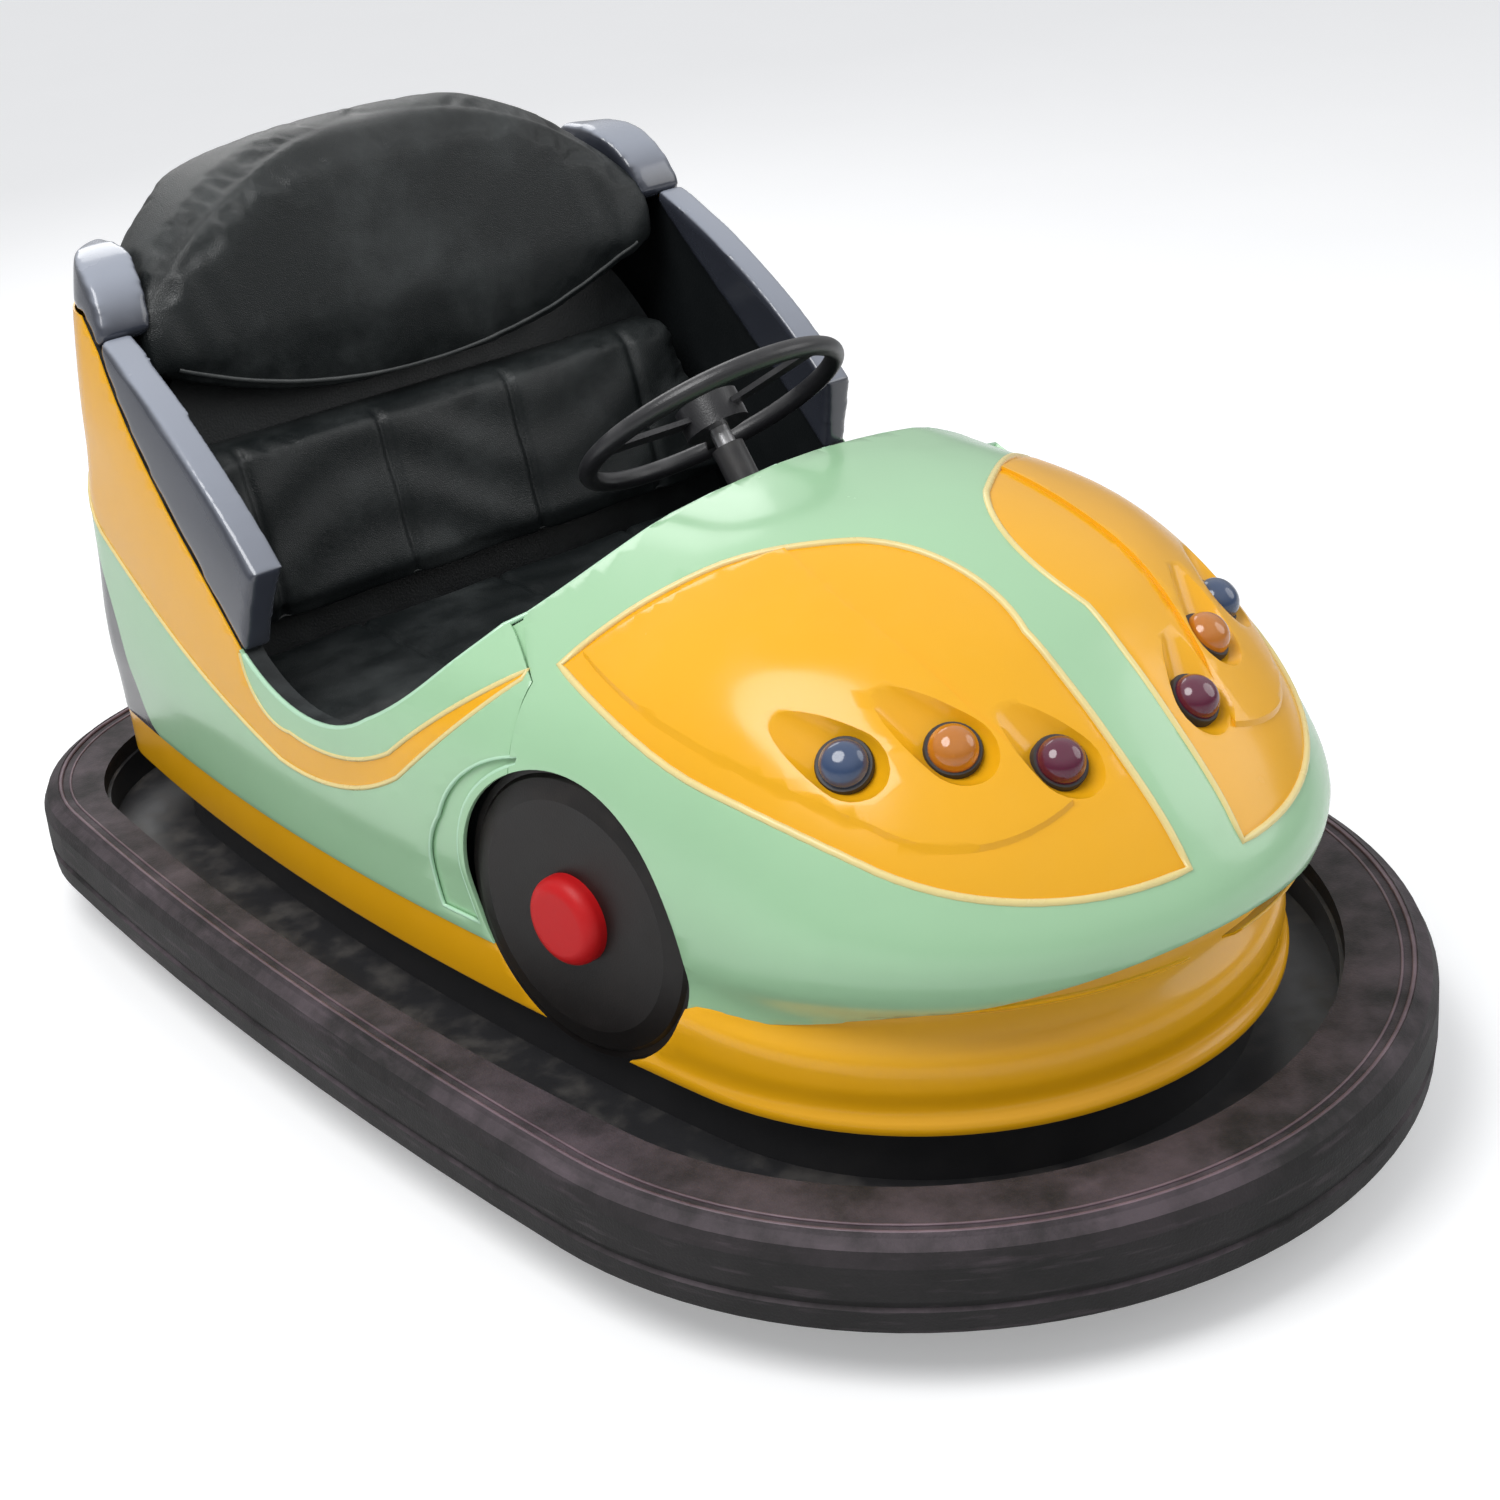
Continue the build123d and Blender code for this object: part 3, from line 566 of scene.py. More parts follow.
mint_coat = finish("mint_coat", coat_effect, (0.12, 0.0004), {
    "Paint": MINT, "Dust": (0.42, 0.45, 0.36, 1), "Dust Amount": 0.03,
    "Gloss": 0.22, "Drift": 0.10, "Peel Scale": 260.0,
}, Coat_Weight=0.3, Coat_Roughness=0.1)
tree = mint_coat.node_tree
place = own_place(tree)
tail_line = add(tree, "ShaderNodeFloatCurve", Value=part_of(tree, place, "Z"))
line = tail_line.mapping.curves[0].points
while len(line) > 2:
    line.remove(line[1])
line[0].location, line[1].location = TAIL_EDGE[0], TAIL_EDGE[-1]
for spot in TAIL_EDGE[1:-1]:
    line.new(*spot)
tail_line.mapping.update()
# Behind the drawn line the tub's tail is coloured dark grey.
behind = maths(tree, "SUBTRACT", part_of(tree, place, "Y"), tail_line.outputs[0])
tail_mask = spread(tree, behind, -0.001, 0.002)
shader = tree.nodes["Principled BSDF"]
painted = shader.inputs["Base Color"].links[0].from_socket
tree.links.new(mix(tree, "MIX", tail_mask, painted, TAIL_GREY), shader.inputs["Base Color"])
# Painted highlight: the rolled lips get a paler mint than the shells.
lip_highlight_mint = finish("lip_highlight_mint", coat_effect, (0.1, 0.0003), {
    "Paint": MINT_HIGHLIGHT, "Gloss": 0.2, "Dust Amount": 0.08,
}, Coat_Weight=0.3, Coat_Roughness=0.1)

# Side view (y, z): the cockpit's edge, the seam, the lower edge and the pressed crescent.
SEAM_LOW, SEAM_TOP = (-250, 575), (-181, 613)
SEAM_GAP = 1.5
SKIRT_TOP = 255
BEHIND_WHEEL_R = 172
cowl_edge = arc((-256, 740), (-226, 676), (-174, 611))
entry_edge = arcs((-174, 611), (-110, 545), (-10, 478), (130, 441), (250, 482))
rise_edge = arc((420, 640), (498, 716), (556, 785)) + [(600, 822), (FAR, 826)]
nose_edge = arc((-491, 276), (-700, 323), (-874, 388))
crescent = arcs((-262, 506), (-196, 479), (-128, 400), (-97, 338), (-99, SKIRT_TOP + 18))
for degrees in range(-22, 69, 5):
    turn = math.radians(degrees)
    crescent.append((ARCH[1] + BEHIND_WHEEL_R * math.cos(turn), ARCH[2] + BEHIND_WHEEL_R * math.sin(turn)))
stripe = (
    arcs((256, 484), (238, 440), (160, 411), (58, 413), (-49, 451), (-138, 518), (-236, 583))
    + arcs((-236, 575), (-145, 496), (-61, 425), (70, 371), (197, 363), (420, 436), (640, 532))
    + arc((640, 532), (724, 640), (750, 822))[1:]
    + [(750, 1000), (256, 1000)]
)
# Plan (x, y): the opening in the hood that a yellow panel fills, on the left.
leaf = [(37, -850)] + arcs(
    (42, -640), (50, -505), (88, -447), (210, -356), (350, -270),
    (352, -480), (287, -687), (190, -796), (37, -850),
)[:-1]
LEAF_LOW = 300


def mirrored_plan(outline):
    return [(-x, y) for x, y in outline]


def arch_cutters():
    """The round holes behind the dummy wheels, drawn in the wheels' own directions."""
    made = []
    for side in (1, -1):
        toe = Matrix.Rotation(math.radians(-ARCH_TOE * side), 4, "Z")
        lean = Matrix.Rotation(math.radians(ARCH_LEAN * side), 4, "Y")
        matrix = Matrix.Translation((side * ARCH[0], ARCH[1], ARCH[2])) @ toe @ lean
        drum = [(-ARCH_REACH, 0), (-ARCH_REACH, ARCH_R), (ARCH_REACH, ARCH_R), (ARCH_REACH, 0)]
        made.append(turned(drum, matrix, 1, 96))
    return made


hood_seam = [(y - SEAM_GAP, z) for y, z in (SEAM_TOP, SEAM_LOW)]
hood_zone = (
    [(-FAR, 1300), (-256, 1300)] + [p for p in cowl_edge if p[1] > 616] + hood_seam
    + [(hood_seam[1][0], SKIRT_TOP), (-440, SKIRT_TOP), (-466, 262)] + nose_edge + [(-FAR, 388)]
)
tub_zone = (
    [(SEAM_LOW[0], SKIRT_TOP), SEAM_LOW, SEAM_TOP] + [p for p in cowl_edge if p[1] < 613]
    + entry_edge[1:] + rise_edge + [(FAR, SKIRT_TOP)]
)
leaf_cutters = [prism(shape, LEAF_LOW, HIGH, "plan") for shape in (leaf, mirrored_plan(leaf))]
hood = carved(lofted(HOOD_ROWS), "INTERSECT", prism(hood_zone))
hood = carved(hood, "DIFFERENCE", *arch_cutters(), prism(crescent), *leaf_cutters)
panelled(hood, "hood_skin", mint_coat, SHELL_T, EDGE_ROUND, "front_shell")
tub = carved(lofted(TUB_ROWS), "INTERSECT", prism(tub_zone))
tub = carved(tub, "DIFFERENCE", *arch_cutters(), prism(crescent), prism(stripe))
panelled(tub, "tub_skin", mint_coat, SHELL_T, EDGE_ROUND, "rear_shell")


# ---- Yellow panels ---------------------------------------------------
# Orange-yellow gel coat on separate mouldings let into the green shells: two hood panels with a
# raised field and three lamp scoops, the side stripes, the nose valance and the skirts.
YELLOW = (0.86, 0.42, 0.008, 1)
# Painted highlight: the cream beads round the yellow panels stand for the light on their rounded edges.
CREAM_HIGHLIGHT = (0.80, 0.66, 0.28, 1)
SIDES = (("left", 1), ("right", -1))
PANEL_T = 0.0025
THIN_T = 0.003
# In millimetres: how far the yellow surfaces lie inside the green ones and the field outside,
# the heights their plan cutters start at, and how far in the pressed crescents lie.
PANEL_IN, STRIPE_IN, SKIRT_IN, FIELD_OUT = 1.2, 0.8, 1.5, 2.2
PANEL_LOW, FIELD_LOW = 330, 420
PRESSED_IN = 5.2
# How far the valance and skirts go up behind the green, and where the nose lip's edges run.
TUCKED = 12
LIP_LOW, LIP_HIGH, LIP_IN, LIP_GAP = 0.6, 4.6, 1.5, 0.5
# In metres: rounded edges of the panels, then how deep the beads lie and how thick they are.
PANEL_ROUND, STRIPE_ROUND = 0.0010, 0.0006
PANEL_BED, ENTRY_BED, CRESCENT_BED = 0.0014, 0.0028, 0.0022
BEVEL_R, STRIPE_BEVEL_R = 0.0042, 0.00315
DRAPE_STEP = 12
ENTRY_LIP_R, CRESCENT_LIP_R = 0.0032, 0.0026
# The cockpit's edge above this height is the hood's, and the stripe's bevel ends at the tub's top.
COWL_Z, TUB_TOP = 616, 826
SCOOP_NOSE, SCOOP_R, SCOOP_TAIL, SCOOP_LIFT = 56, 40, 160, 20
SCOOP_WAY = Vector((0.2, 0.95, 0.21))
LAMP_SPOTS = {
    "blue": ((262, -617, 568), (0.52, -0.49, 0.69)),
    "amber": ((177, -680, 575), (0.345, -0.56, 0.75)),
    "purple": ((94, -741, 552), (0.15, -0.66, 0.73)),
}
VALANCE_ROWS = [
    (187, -818, 457, 68, 330, 880, 0), (196, -818, 457, 68, 330, 880, 0), (204, -811, 455, 68, 330, 880, 0),
    (240, -813, 457, 69, 330, 880, 0), (272, -806, 458, 70, 330, 880, 0), (286, -792, 455, 71, 330, 880, 0),
    (330, -778, 454, 73, 330, 880, 0), (405, -792, 456, 76, 330, 880, 0),
]
field = arcs(
    (150, -404), (158, -585), (112, -772), (205, -748), (272, -670),
    (336, -480), (333, -292), (235, -358), (150, -404),
)[:-1]
yellow_coat = finish("yellow_coat", coat_effect, (0.12, 0.0004), {
    "Paint": YELLOW, "Dust": (0.75, 0.50, 0.16, 1), "Dust Amount": 0.03,
    "Gloss": 0.22, "Drift": 0.12, "Peel Scale": 260.0,
}, Specular_IOR_Level=0.35, Coat_Weight=0.2, Coat_Roughness=0.1)
cream_highlight_edge = finish("cream_highlight_edge", coat_effect, (0.1, 0.0003), {
    "Paint": CREAM_HIGHLIGHT, "Gloss": 0.25, "Dust Amount": 0.1,
})


def seat_of(colour, side):
    """The lamp's own place on the hood: its X axis along the scoop, its Z axis outward."""
    (x, y, z), (nx, ny, nz) = LAMP_SPOTS[colour]
    outward = Vector((side * nx, ny, nz)).normalized()
    along = Vector((side * SCOOP_WAY.x, SCOOP_WAY.y, SCOOP_WAY.z))
    along = (along - along.dot(outward) * outward).normalized()
    seat = Matrix((along, outward.cross(along), outward)).transposed().to_4x4()
    seat.translation = (side * x, y, z)
    return seat


def seen_from_side(rays, side, y, z):
    """The surface point and normal that a level ray from one side meets, at y and z in millimetres."""
    hit, normal, _, _ = rays.ray_cast(Vector((side * 1.2, y * MM, z * MM)), Vector((-side, 0, 0)))
    return hit, normal


def seen_from_above(rays, x, y):
    """The surface point and normal that a ray straight down meets, at x and y in millimetres."""
    hit, normal, _, _ = rays.ray_cast(Vector((x * MM, y * MM, 1.5)), Vector((0, 0, -1)))
    return hit, normal


def draped(outline, rays, view, side=1, sink=0.0, closed=True):
    """An outline in millimetres laid on a surface, seen in plan or from one side."""
    line = []
    for (a, b), (c, d) in zip(outline, outline[1:] + outline[:1] if closed else outline[1:]):
        count = max(1, int(math.dist((a, b), (c, d)) / DRAPE_STEP))
        line += [(a + (c - a) * k / count, b + (d - b) * k / count) for k in range(count)]
    laid = []
    for a, b in line:
        hit, normal = seen_from_above(rays, a, b) if view == "plan" else seen_from_side(rays, side, a, b)
        if hit:
            laid.append(hit - sink * normal)
    return laid


scoop = arc((-SCOOP_NOSE, 0), (-0.7 * SCOOP_NOSE, 0.7 * SCOOP_R), (0, SCOOP_R), 8)
scoop += arc((0, SCOOP_R), (0.5 * SCOOP_TAIL, 0.66 * SCOOP_R), (SCOOP_TAIL, 0), 14)[1:-1]
scoop = [(-SCOOP_NOSE, 0)] + scoop[1:] + [(SCOOP_TAIL, 0)]
lifted = Matrix.Translation((0, 0, SCOOP_LIFT))
hood_whole, tub_whole = lofted(HOOD_ROWS), lofted(TUB_ROWS)
hood_rays, tub_rays = rays_of(hood_whole), rays_of(tub_whole)
for word, side in SIDES:
    leaf_here = leaf if side == 1 else mirrored_plan(leaf)
    field_here = field if side == 1 else mirrored_plan(field)
    raised = carved(lofted(HOOD_ROWS, -FIELD_OUT), "INTERSECT", prism(field_here, FIELD_LOW, HIGH, "plan", 0))
    panel = carved(lofted(HOOD_ROWS, PANEL_IN), "UNION", raised)
    scoops = [turned(scoop, seat_of(colour, side) @ lifted) for colour in LAMP_SPOTS]
    panel = carved(panel, "DIFFERENCE", *scoops)
    panel = carved(panel, "INTERSECT", prism(leaf_here, PANEL_LOW, HIGH, "plan"))
    replaced = f"hood_panel_{word}"
    panelled(panel, f"hood_panel_skin_{word}", yellow_coat, PANEL_T, PANEL_ROUND, replaced)
    band = carved(lofted(TUB_ROWS, STRIPE_IN), "INTERSECT", half_prism(stripe, side))
    band = carved(band, "INTERSECT", prism(tub_zone))
    replaced = f"side_flash_{word}"
    panelled(band, f"side_stripe_{word}", yellow_coat, PANEL_T, STRIPE_ROUND, replaced)
    # Cream beads round each panel and along each stripe paint the highlight on their rounded edges.
    around = draped(leaf_here, hood_rays, "plan", sink=PANEL_BED)
    ribbon(f"panel_bevel_{word}", around, BEVEL_R, cream_highlight_edge)
    along = draped([p for p in stripe if p[1] < TUB_TOP], tub_rays, "side", side, PANEL_BED, False)
    ribbon(f"stripe_bevel_{word}", along, STRIPE_BEVEL_R, cream_highlight_edge, False)

# The valance goes up behind the hood's lower edge, and a thin green lip closes the gap there.
front = [(-FAR, 150), (ARCH[1], 150), (ARCH[1], 268), (-440, 268), (-466, 276)]
front += [(y, z + TUCKED) for y, z in nose_edge] + [(-FAR, 388 + TUCKED)]
valance = carved(lofted(VALANCE_ROWS, rise=5), "INTERSECT", prism(front))
valance = carved(valance, "DIFFERENCE", *arch_cutters())
panelled(
    valance, "valance_skin", yellow_coat, SHELL_T, EDGE_ROUND, "front_valance",
    lambda face: is_cut(face) or face.normal.z < -0.98,
)
under_nose = [(y, z + LIP_LOW) for y, z in nose_edge] + [(-FAR, 388 + LIP_LOW), (-FAR, 388 + LIP_HIGH)]
under_nose += [(y, z + LIP_HIGH) for y, z in nose_edge[::-1]]
lip = carved(lofted(HOOD_ROWS, LIP_IN), "INTERSECT", prism(under_nose, part=0))
lip = carved(lip, "DIFFERENCE", lofted(VALANCE_ROWS, -LIP_GAP, rise=5))
panelled(lip, "nose_lip", mint_coat, 0, 0, None)
skirt_zone = [(ARCH[1], 187), (FAR, 187), (FAR, SKIRT_TOP + TUCKED), (ARCH[1], SKIRT_TOP + TUCKED)]
skirt = carved(lofted(LOWER_ROWS, SKIRT_IN), "INTERSECT", prism(skirt_zone))
skirt = carved(skirt, "DIFFERENCE", *arch_cutters())
panelled(skirt, "skirt_skin", yellow_coat, SHELL_T, EDGE_ROUND, "side_skirt")

# A green flange behind the seam, rolled lips on the cockpit's edge and the crescent, and its floor; the lips
# are a paler mint, a painted highlight.
flange_zone = [(-292, 550), (-236, 550), (-168, 590), (-177, 606), (-187, 614), (-216, 612)]
for word, side in SIDES:
    flange = carved(lofted(TUB_ROWS, PRESSED_IN), "INTERSECT", half_prism(flange_zone, side))
    panelled(flange, f"seam_flange_{word}", mint_coat, THIN_T, 0, None)
    laid = []
    for y, z in [p for p in cowl_edge if p[1] < 735] + entry_edge[1:]:
        hit, normal = seen_from_side(hood_rays if z > COWL_Z else tub_rays, side, y, z)
        if hit and side * hit.x > 0.03:
            laid.append(hit - ENTRY_BED * normal)
    ribbon(f"entry_lip_{word}", laid, ENTRY_LIP_R, lip_highlight_mint, False)
    rim = draped(crescent, tub_rays, "side", side, CRESCENT_BED)
    ribbon(f"crescent_lip_{word}", rim, CRESCENT_LIP_R, lip_highlight_mint)
    pressed = carved(lofted(TUB_ROWS, PRESSED_IN), "INTERSECT", half_prism(crescent, side))
    panelled(pressed, f"crescent_floor_{word}", mint_coat, THIN_T, 0, None)
for spare in (hood_whole, tub_whole):
    bpy.data.objects.remove(spare)


# ---- Lamps -----------------------------------------------------------
# Three domed lamps a side, moulded in clear coloured plastic over a dull reflector, each in a
# dark rubber ring at the foot of its scoop.
LENSES = {
    "blue": ((0.035, 0.07, 0.16, 1), 0.35),
    "amber": ((0.62, 0.20, 0.010, 1), 0.45),
    "purple": ((0.12, 0.003, 0.035, 1), 0.3),
}
LAMP_R = 25
LAMP_FOOT = -24
ring_rubber = finish("ring_rubber", rubber_effect, (0.3, 0.0004), {"Bloom Amount": 0.3, "Matt": 0.6})
for colour, (tint, clear) in LENSES.items():
    lens = finish(f"lens_{colour}", coat_effect, (0.35, 0.0010), {
        "Paint": tint, "Dust": (0.3, 0.3, 0.3, 1), "Dust Amount": 0.05,
        "Gloss": 0.12, "Drift": 0.5, "Peel Scale": 60.0,
    }, Transmission_Weight=clear * 0.5, IOR=1.49, Coat_Weight=0.6, Coat_Roughness=0.05)
    for word, side in SIDES:
        stand = seat_of(colour, side) @ Matrix.Rotation(math.radians(-90), 4, "Y")
        dome = [(LAMP_FOOT, 0), (LAMP_FOOT, LAMP_R)] + arc((-4, LAMP_R), (8.5, 18.5), (15, 0), 8)
        dome = turned(dome, stand)
        panelled(dome, f"lamp_{colour}_dome_{word}", lens, 0, 0, f"lamp_{colour}_{word}")
        ring = [(LAMP_FOOT, LAMP_R + 0.2), (LAMP_FOOT, LAMP_R + 4)]
        ring += [(-8, LAMP_R + 4), (-5, LAMP_R + 2.6), (-5, LAMP_R + 0.2)]
        panelled(turned(ring, stand), f"lamp_{colour}_ring_{word}", ring_rubber, 0, 0, None)


# ---- Dummy front wheels ----------------------------------------------
# A dished black disc is screwed over each front arch to look like a tyre, with a bevelled edge
# and a red plastic cap in the middle. Neither turns.
disc_plastic = finish("disc_plastic", coat_effect, (0.3, 0.0006), {
    "Paint": (0.0095, 0.008, 0.0075, 1), "Dust": (0.085, 0.065, 0.058, 1), "Dust Amount": 0.35,
    "Gloss": 0.42, "Drift": 0.3,
}, Specular_IOR_Level=0.35)
cap_red = finish("cap_red", coat_effect, (0.2, 0.0005), {
    "Paint": (0.52, 0.008, 0.010, 1), "Dust": (0.4, 0.1, 0.09, 1), "Dust Amount": 0.1, "Gloss": 0.42,
}, Specular_IOR_Level=0.25)
dress(disc_plastic, "wheel_cover_left", "wheel_cover_right")
dress(cap_red, "hub_cap_left", "hub_cap_right")


# ---- Cockpit ---------------------------------------------------------
# A black moulded tub with a grained floor, a seat moulding and a dash; the rim mouldings on the
# sides are glossy blue-grey, with a painted highlight along their crest, paler on upward faces higher up.
# Painted highlight: the pale blue-grey mixed into the mouldings' upward faces, stronger higher up.
CREST_HIGHLIGHT = (0.30, 0.325, 0.385, 1)
# How far in from the shells' surfaces the cockpit's pieces start and end, in millimetres.
LINER_IN, DASH_IN, TRIM_IN, TRIM_DEEP, BLOCK_DEEP, LEDGE_IN = 27, 7, 2, 38, 60, 3
BLOCK_FROM = 350
LEDGE_DROP = 3
LEDGE_T, DASH_ROUND = 0.004, 0.002
TRIM_SOFT, BLOCK_SOFT = 22, 26
tub_plastic = finish("tub_plastic", coat_effect, (0.5, 0.0009), {
    "Paint": (0.010, 0.012, 0.013, 1), "Dust": (0.06, 0.068, 0.068, 1), "Dust Amount": 0.5,
    "Gloss": 0.45, "Drift": 0.3, "Peel Scale": 330.0,
}, Specular_IOR_Level=0.35)
dress(tub_plastic, "seat_moulding")
case_plastic = finish("case_plastic", coat_effect, (0.4, 0.0008), {
    "Paint": (0.02, 0.02, 0.022, 1), "Gloss": 0.55,
})
dress(case_plastic, "battery_block")
trim_gloss = finish("trim_gloss", coat_effect, (0.15, 0.0005), {
    "Paint": (0.045, 0.050, 0.066, 1), "Dust": (0.30, 0.32, 0.37, 1), "Dust Amount": 0.12,
    "Gloss": 0.2, "Drift": 0.25, "Peel Scale": 120.0,
}, Coat_Weight=0.6, Coat_Roughness=0.12)
tree = trim_gloss.node_tree
shader = tree.nodes["Principled BSDF"]
painted = shader.inputs["Base Color"].links[0].from_socket
# Painted highlight: faces turned up, higher on the car, are mixed towards the pale blue-grey.
raised = spread(tree, part_of(tree, own_place(tree), "Z"), 0.50, 0.82, 0.55, 1.0)
crest_highlight = times(tree, spread(tree, upward(tree), 0.25, 0.85), raised)
tree.links.new(mix(tree, "MIX", crest_highlight, painted, CREST_HIGHLIGHT), shader.inputs["Base Color"])
liner_zone = (
    [(-250, 196), (-250, 556), (-190, 556), (-186, 604)]
    + [(y, z - 8) for y, z in cowl_edge + entry_edge + rise_edge[:-1] if y > -180] + [(860, 818), (860, 196)]
)
liner = carved(lofted(TUB_ROWS, LINER_IN), "INTERSECT", prism(liner_zone))
panelled(
    liner, "tub_liner", tub_plastic, THIN_T, 0, "cockpit_liner",
    lambda face: is_cut(face) and face.normal.z > 0.02,
)
dash_zone = [(-264, 556), (-190, 556), (-186, 560), (-222, 572), (-232, 700), (-238, 700)]
dash = carved(lofted(HOOD_ROWS, DASH_IN), "INTERSECT", prism(dash_zone))
panelled(dash, "dash_skin", tub_plastic, 0, DASH_ROUND, "dash_panel", lambda face: False)
trim_zone = rise_edge[:-2] + arc((545, 803), (390, 724), (212, 588)) + [(250, 482)]
block_zone = [(558, 787), (600.5, 823)] + arcs((745, 825), (728, 866), (674, 886), (594, 872), (543, 804))
ledge_line = [p for p in cowl_edge if p[1] < 606] + entry_edge + rise_edge[:-1]
for word, side in SIDES:
    band = carved(lofted(TUB_ROWS, TRIM_IN), "INTERSECT", half_prism(trim_zone, side, part=0))
    band = carved(band, "DIFFERENCE", lofted(TUB_ROWS, TRIM_DEEP))
    panelled(band, f"rim_moulding_{word}", trim_gloss, 0, 0, f"rim_trim_{word}", soft=TRIM_SOFT)
    block = carved(lofted(TUB_ROWS, TRIM_IN), "INTERSECT", half_prism(block_zone, side, BLOCK_FROM, 0))
    block = carved(block, "DIFFERENCE", lofted(TUB_ROWS, BLOCK_DEEP))
    panelled(block, f"shoulder_block_{word}", trim_gloss, 0, 0, None, soft=BLOCK_SOFT)

# A black ledge joins the tub's edge to the liner, laid on rays through both surfaces.
ledge_solids = lofted(TUB_ROWS, LEDGE_IN), lofted(TUB_ROWS, LINER_IN)
ledge_rays = [rays_of(piece) for piece in ledge_solids]
for piece in ledge_solids:
    bpy.data.objects.remove(piece)
for word, side in SIDES:
    points = []
    for y, z in ledge_line:
        pair = [seen_from_side(rays, side, y, z - LEDGE_DROP)[0] for rays in ledge_rays]
        if all(pair):
            points += [hit / MM for hit in pair]
    faces = [(k, k + 1, k + 3, k + 2) for k in range(0, len(points) - 2, 2)]
    panelled(solid_of(points, faces), f"entry_ledge_{word}", tub_plastic, LEDGE_T, 0, None)


# ---- Padding ---------------------------------------------------------
# The seat, the back and the domed upper pad are foam under black vinyl, sewn in channels. Each is
# filled by a short cloth run, then its seams are drawn in.
vinyl_effect, given, out = effect("seat_vinyl", [
    ("Vinyl", "Color", (0.0095, 0.012, 0.0125, 1)), ("Rubbed", "Color", (0.07, 0.078, 0.078, 1)),
    ("Rubbed Amount", "Float", 0.5), ("Sheen Gloss", "Float", 0.34), ("Grain Scale", "Float", 420.0),
])
where = own_place(vinyl_effect)
cells = add(vinyl_effect, "ShaderNodeTexVoronoi", {"feature": "DISTANCE_TO_EDGE"}, Vector=where)
feed(vinyl_effect, cells.inputs["Scale"], given["Grain Scale"])
grain = cells.outputs["Distance"]
worn = noise(vinyl_effect, where, 7.0, 6.0, Roughness=0.6)
rubbed = times(vinyl_effect, spread(vinyl_effect, worn, 0.42, 0.78), given["Rubbed Amount"])
tinted = mix(vinyl_effect, "MIX", rubbed, given["Vinyl"], given["Rubbed"])
shine = maths(vinyl_effect, "MULTIPLY_ADD", rubbed, 0.3, given["Sheen Gloss"])
deliver(vinyl_effect, out, tinted, shine, spread(vinyl_effect, grain, 0.0, 0.25))
black_vinyl = finish("black_vinyl", vinyl_effect, (0.35, 0.0006), {}, Specular_IOR_Level=0.4)
PAD_VOXEL = 0.006
# Each cushion starts this much smaller than its form, and is filled at this pressure and for
# this many frames.
PAD_SHRINK = 0.004
PAD_PRESSURE = 4
FRAMES = 20
# Where the sewn channels run, measured across the car, and how deep they are drawn in.
SEAT_CHANNELS = (-0.21, 0.0, 0.21)
BACK_CHANNELS = (-0.30, -0.10, 0.10, 0.30)
CHANNEL_DEEP = 0.006
PIPING_R, PIPING_BED = 0.0032, 0.0008


def read(mesh, what):
    """One row of three numbers for each of the mesh's points: its place or its normal."""
    flat = np.empty(len(mesh.vertices) * 3)
    mesh.vertices.foreach_get(what, flat)
    return flat.reshape(-1, 3)


def stuffed(node, name, cap, sewn, form=None, rounds=10):
    """A foam cushion: a plain solid filled by a cloth run, its swell capped, then sewn in its skin."""
    piece = placed(name, form.data if form else nodes[node].data.copy())
    voxels = piece.modifiers.new("voxels", "REMESH")
    voxels.mode = "VOXEL"
    voxels.voxel_size = PAD_VOXEL
    piece.modifiers.new("soften", "SMOOTH").iterations = rounds
    skin = taken(piece)
    piece.modifiers.clear()
    piece.data = skin
    start = read(skin, "co") - PAD_SHRINK * read(skin, "normal")
    skin.vertices.foreach_set("co", start.ravel())
    cloth = piece.modifiers.new("filling", "CLOTH")
    cloth.settings.use_pressure = True
    cloth.settings.uniform_pressure_force = PAD_PRESSURE
    cloth.settings.effector_weights.gravity = 0
    for number in range(1, FRAMES + 1):
        bpy.context.scene.frame_set(number)
    full = read(taken(piece), "co")
    piece.modifiers.clear()
    bpy.context.scene.frame_set(1)
    moved = full - start
    length = np.maximum(np.linalg.norm(moved, axis=1), 1e-9)
    start = start + moved * np.minimum(1, cap / length)[:, None]
    skin.vertices.foreach_set("co", start.ravel())
    finer = piece.modifiers.new("finer", "SUBSURF")
    finer.levels = finer.render_levels = 1
    skin = taken(piece)
    piece.modifiers.clear()
    piece.data = skin
    at, out_by = read(skin, "co"), read(skin, "normal")
    skin.vertices.foreach_set("co", (at + out_by * sewn(at, out_by)[:, None]).ravel())
    skin.polygons.foreach_set("use_smooth", [True] * len(skin.polygons))
    skin.materials.clear()
    skin.materials.append(black_vinyl)
    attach(piece, "chassis")
    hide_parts(node)
    return piece


def channels(at, places, width):
    """How far sewn channels at these places across the car draw the skin in."""
    return sum(-CHANNEL_DEEP * np.exp(-((at[:, 0] - x) / width) ** 2) for x in places)


def seat_seams(at, out_by):
    facing_up = np.clip(out_by[:, 2] * 2, 0, 1)
    wrinkles = 0.0012 * np.sin(at[:, 1] * 90 + 3 * np.sin(at[:, 0] * 14))
    return (channels(at, SEAT_CHANNELS, 0.006) + wrinkles) * facing_up


def back_seams(at, out_by):
    facing_ahead = np.clip(-out_by[:, 1] * 2, 0, 1)
    wrinkles = 0.0016 * np.sin(at[:, 2] * 70 + 4 * np.sin(at[:, 0] * 11))
    return (channels(at, BACK_CHANNELS, 0.007) + wrinkles) * facing_ahead


def pad_seams(at, out_by):
    facing_ahead = np.clip(-out_by[:, 1] * 2.5, 0, 1)
    at_the_ends = np.clip((np.abs(at[:, 0]) - 0.24) / 0.12, 0, 1)
    gathers = 0.0012 * np.sin(at[:, 0] * 120 + at[:, 2] * 40) * at_the_ends
    creases_in = 0.0010 * np.sin(at[:, 0] * 30 + 4 * np.sin(at[:, 2] * 10))
    return (gathers + creases_in) * facing_ahead


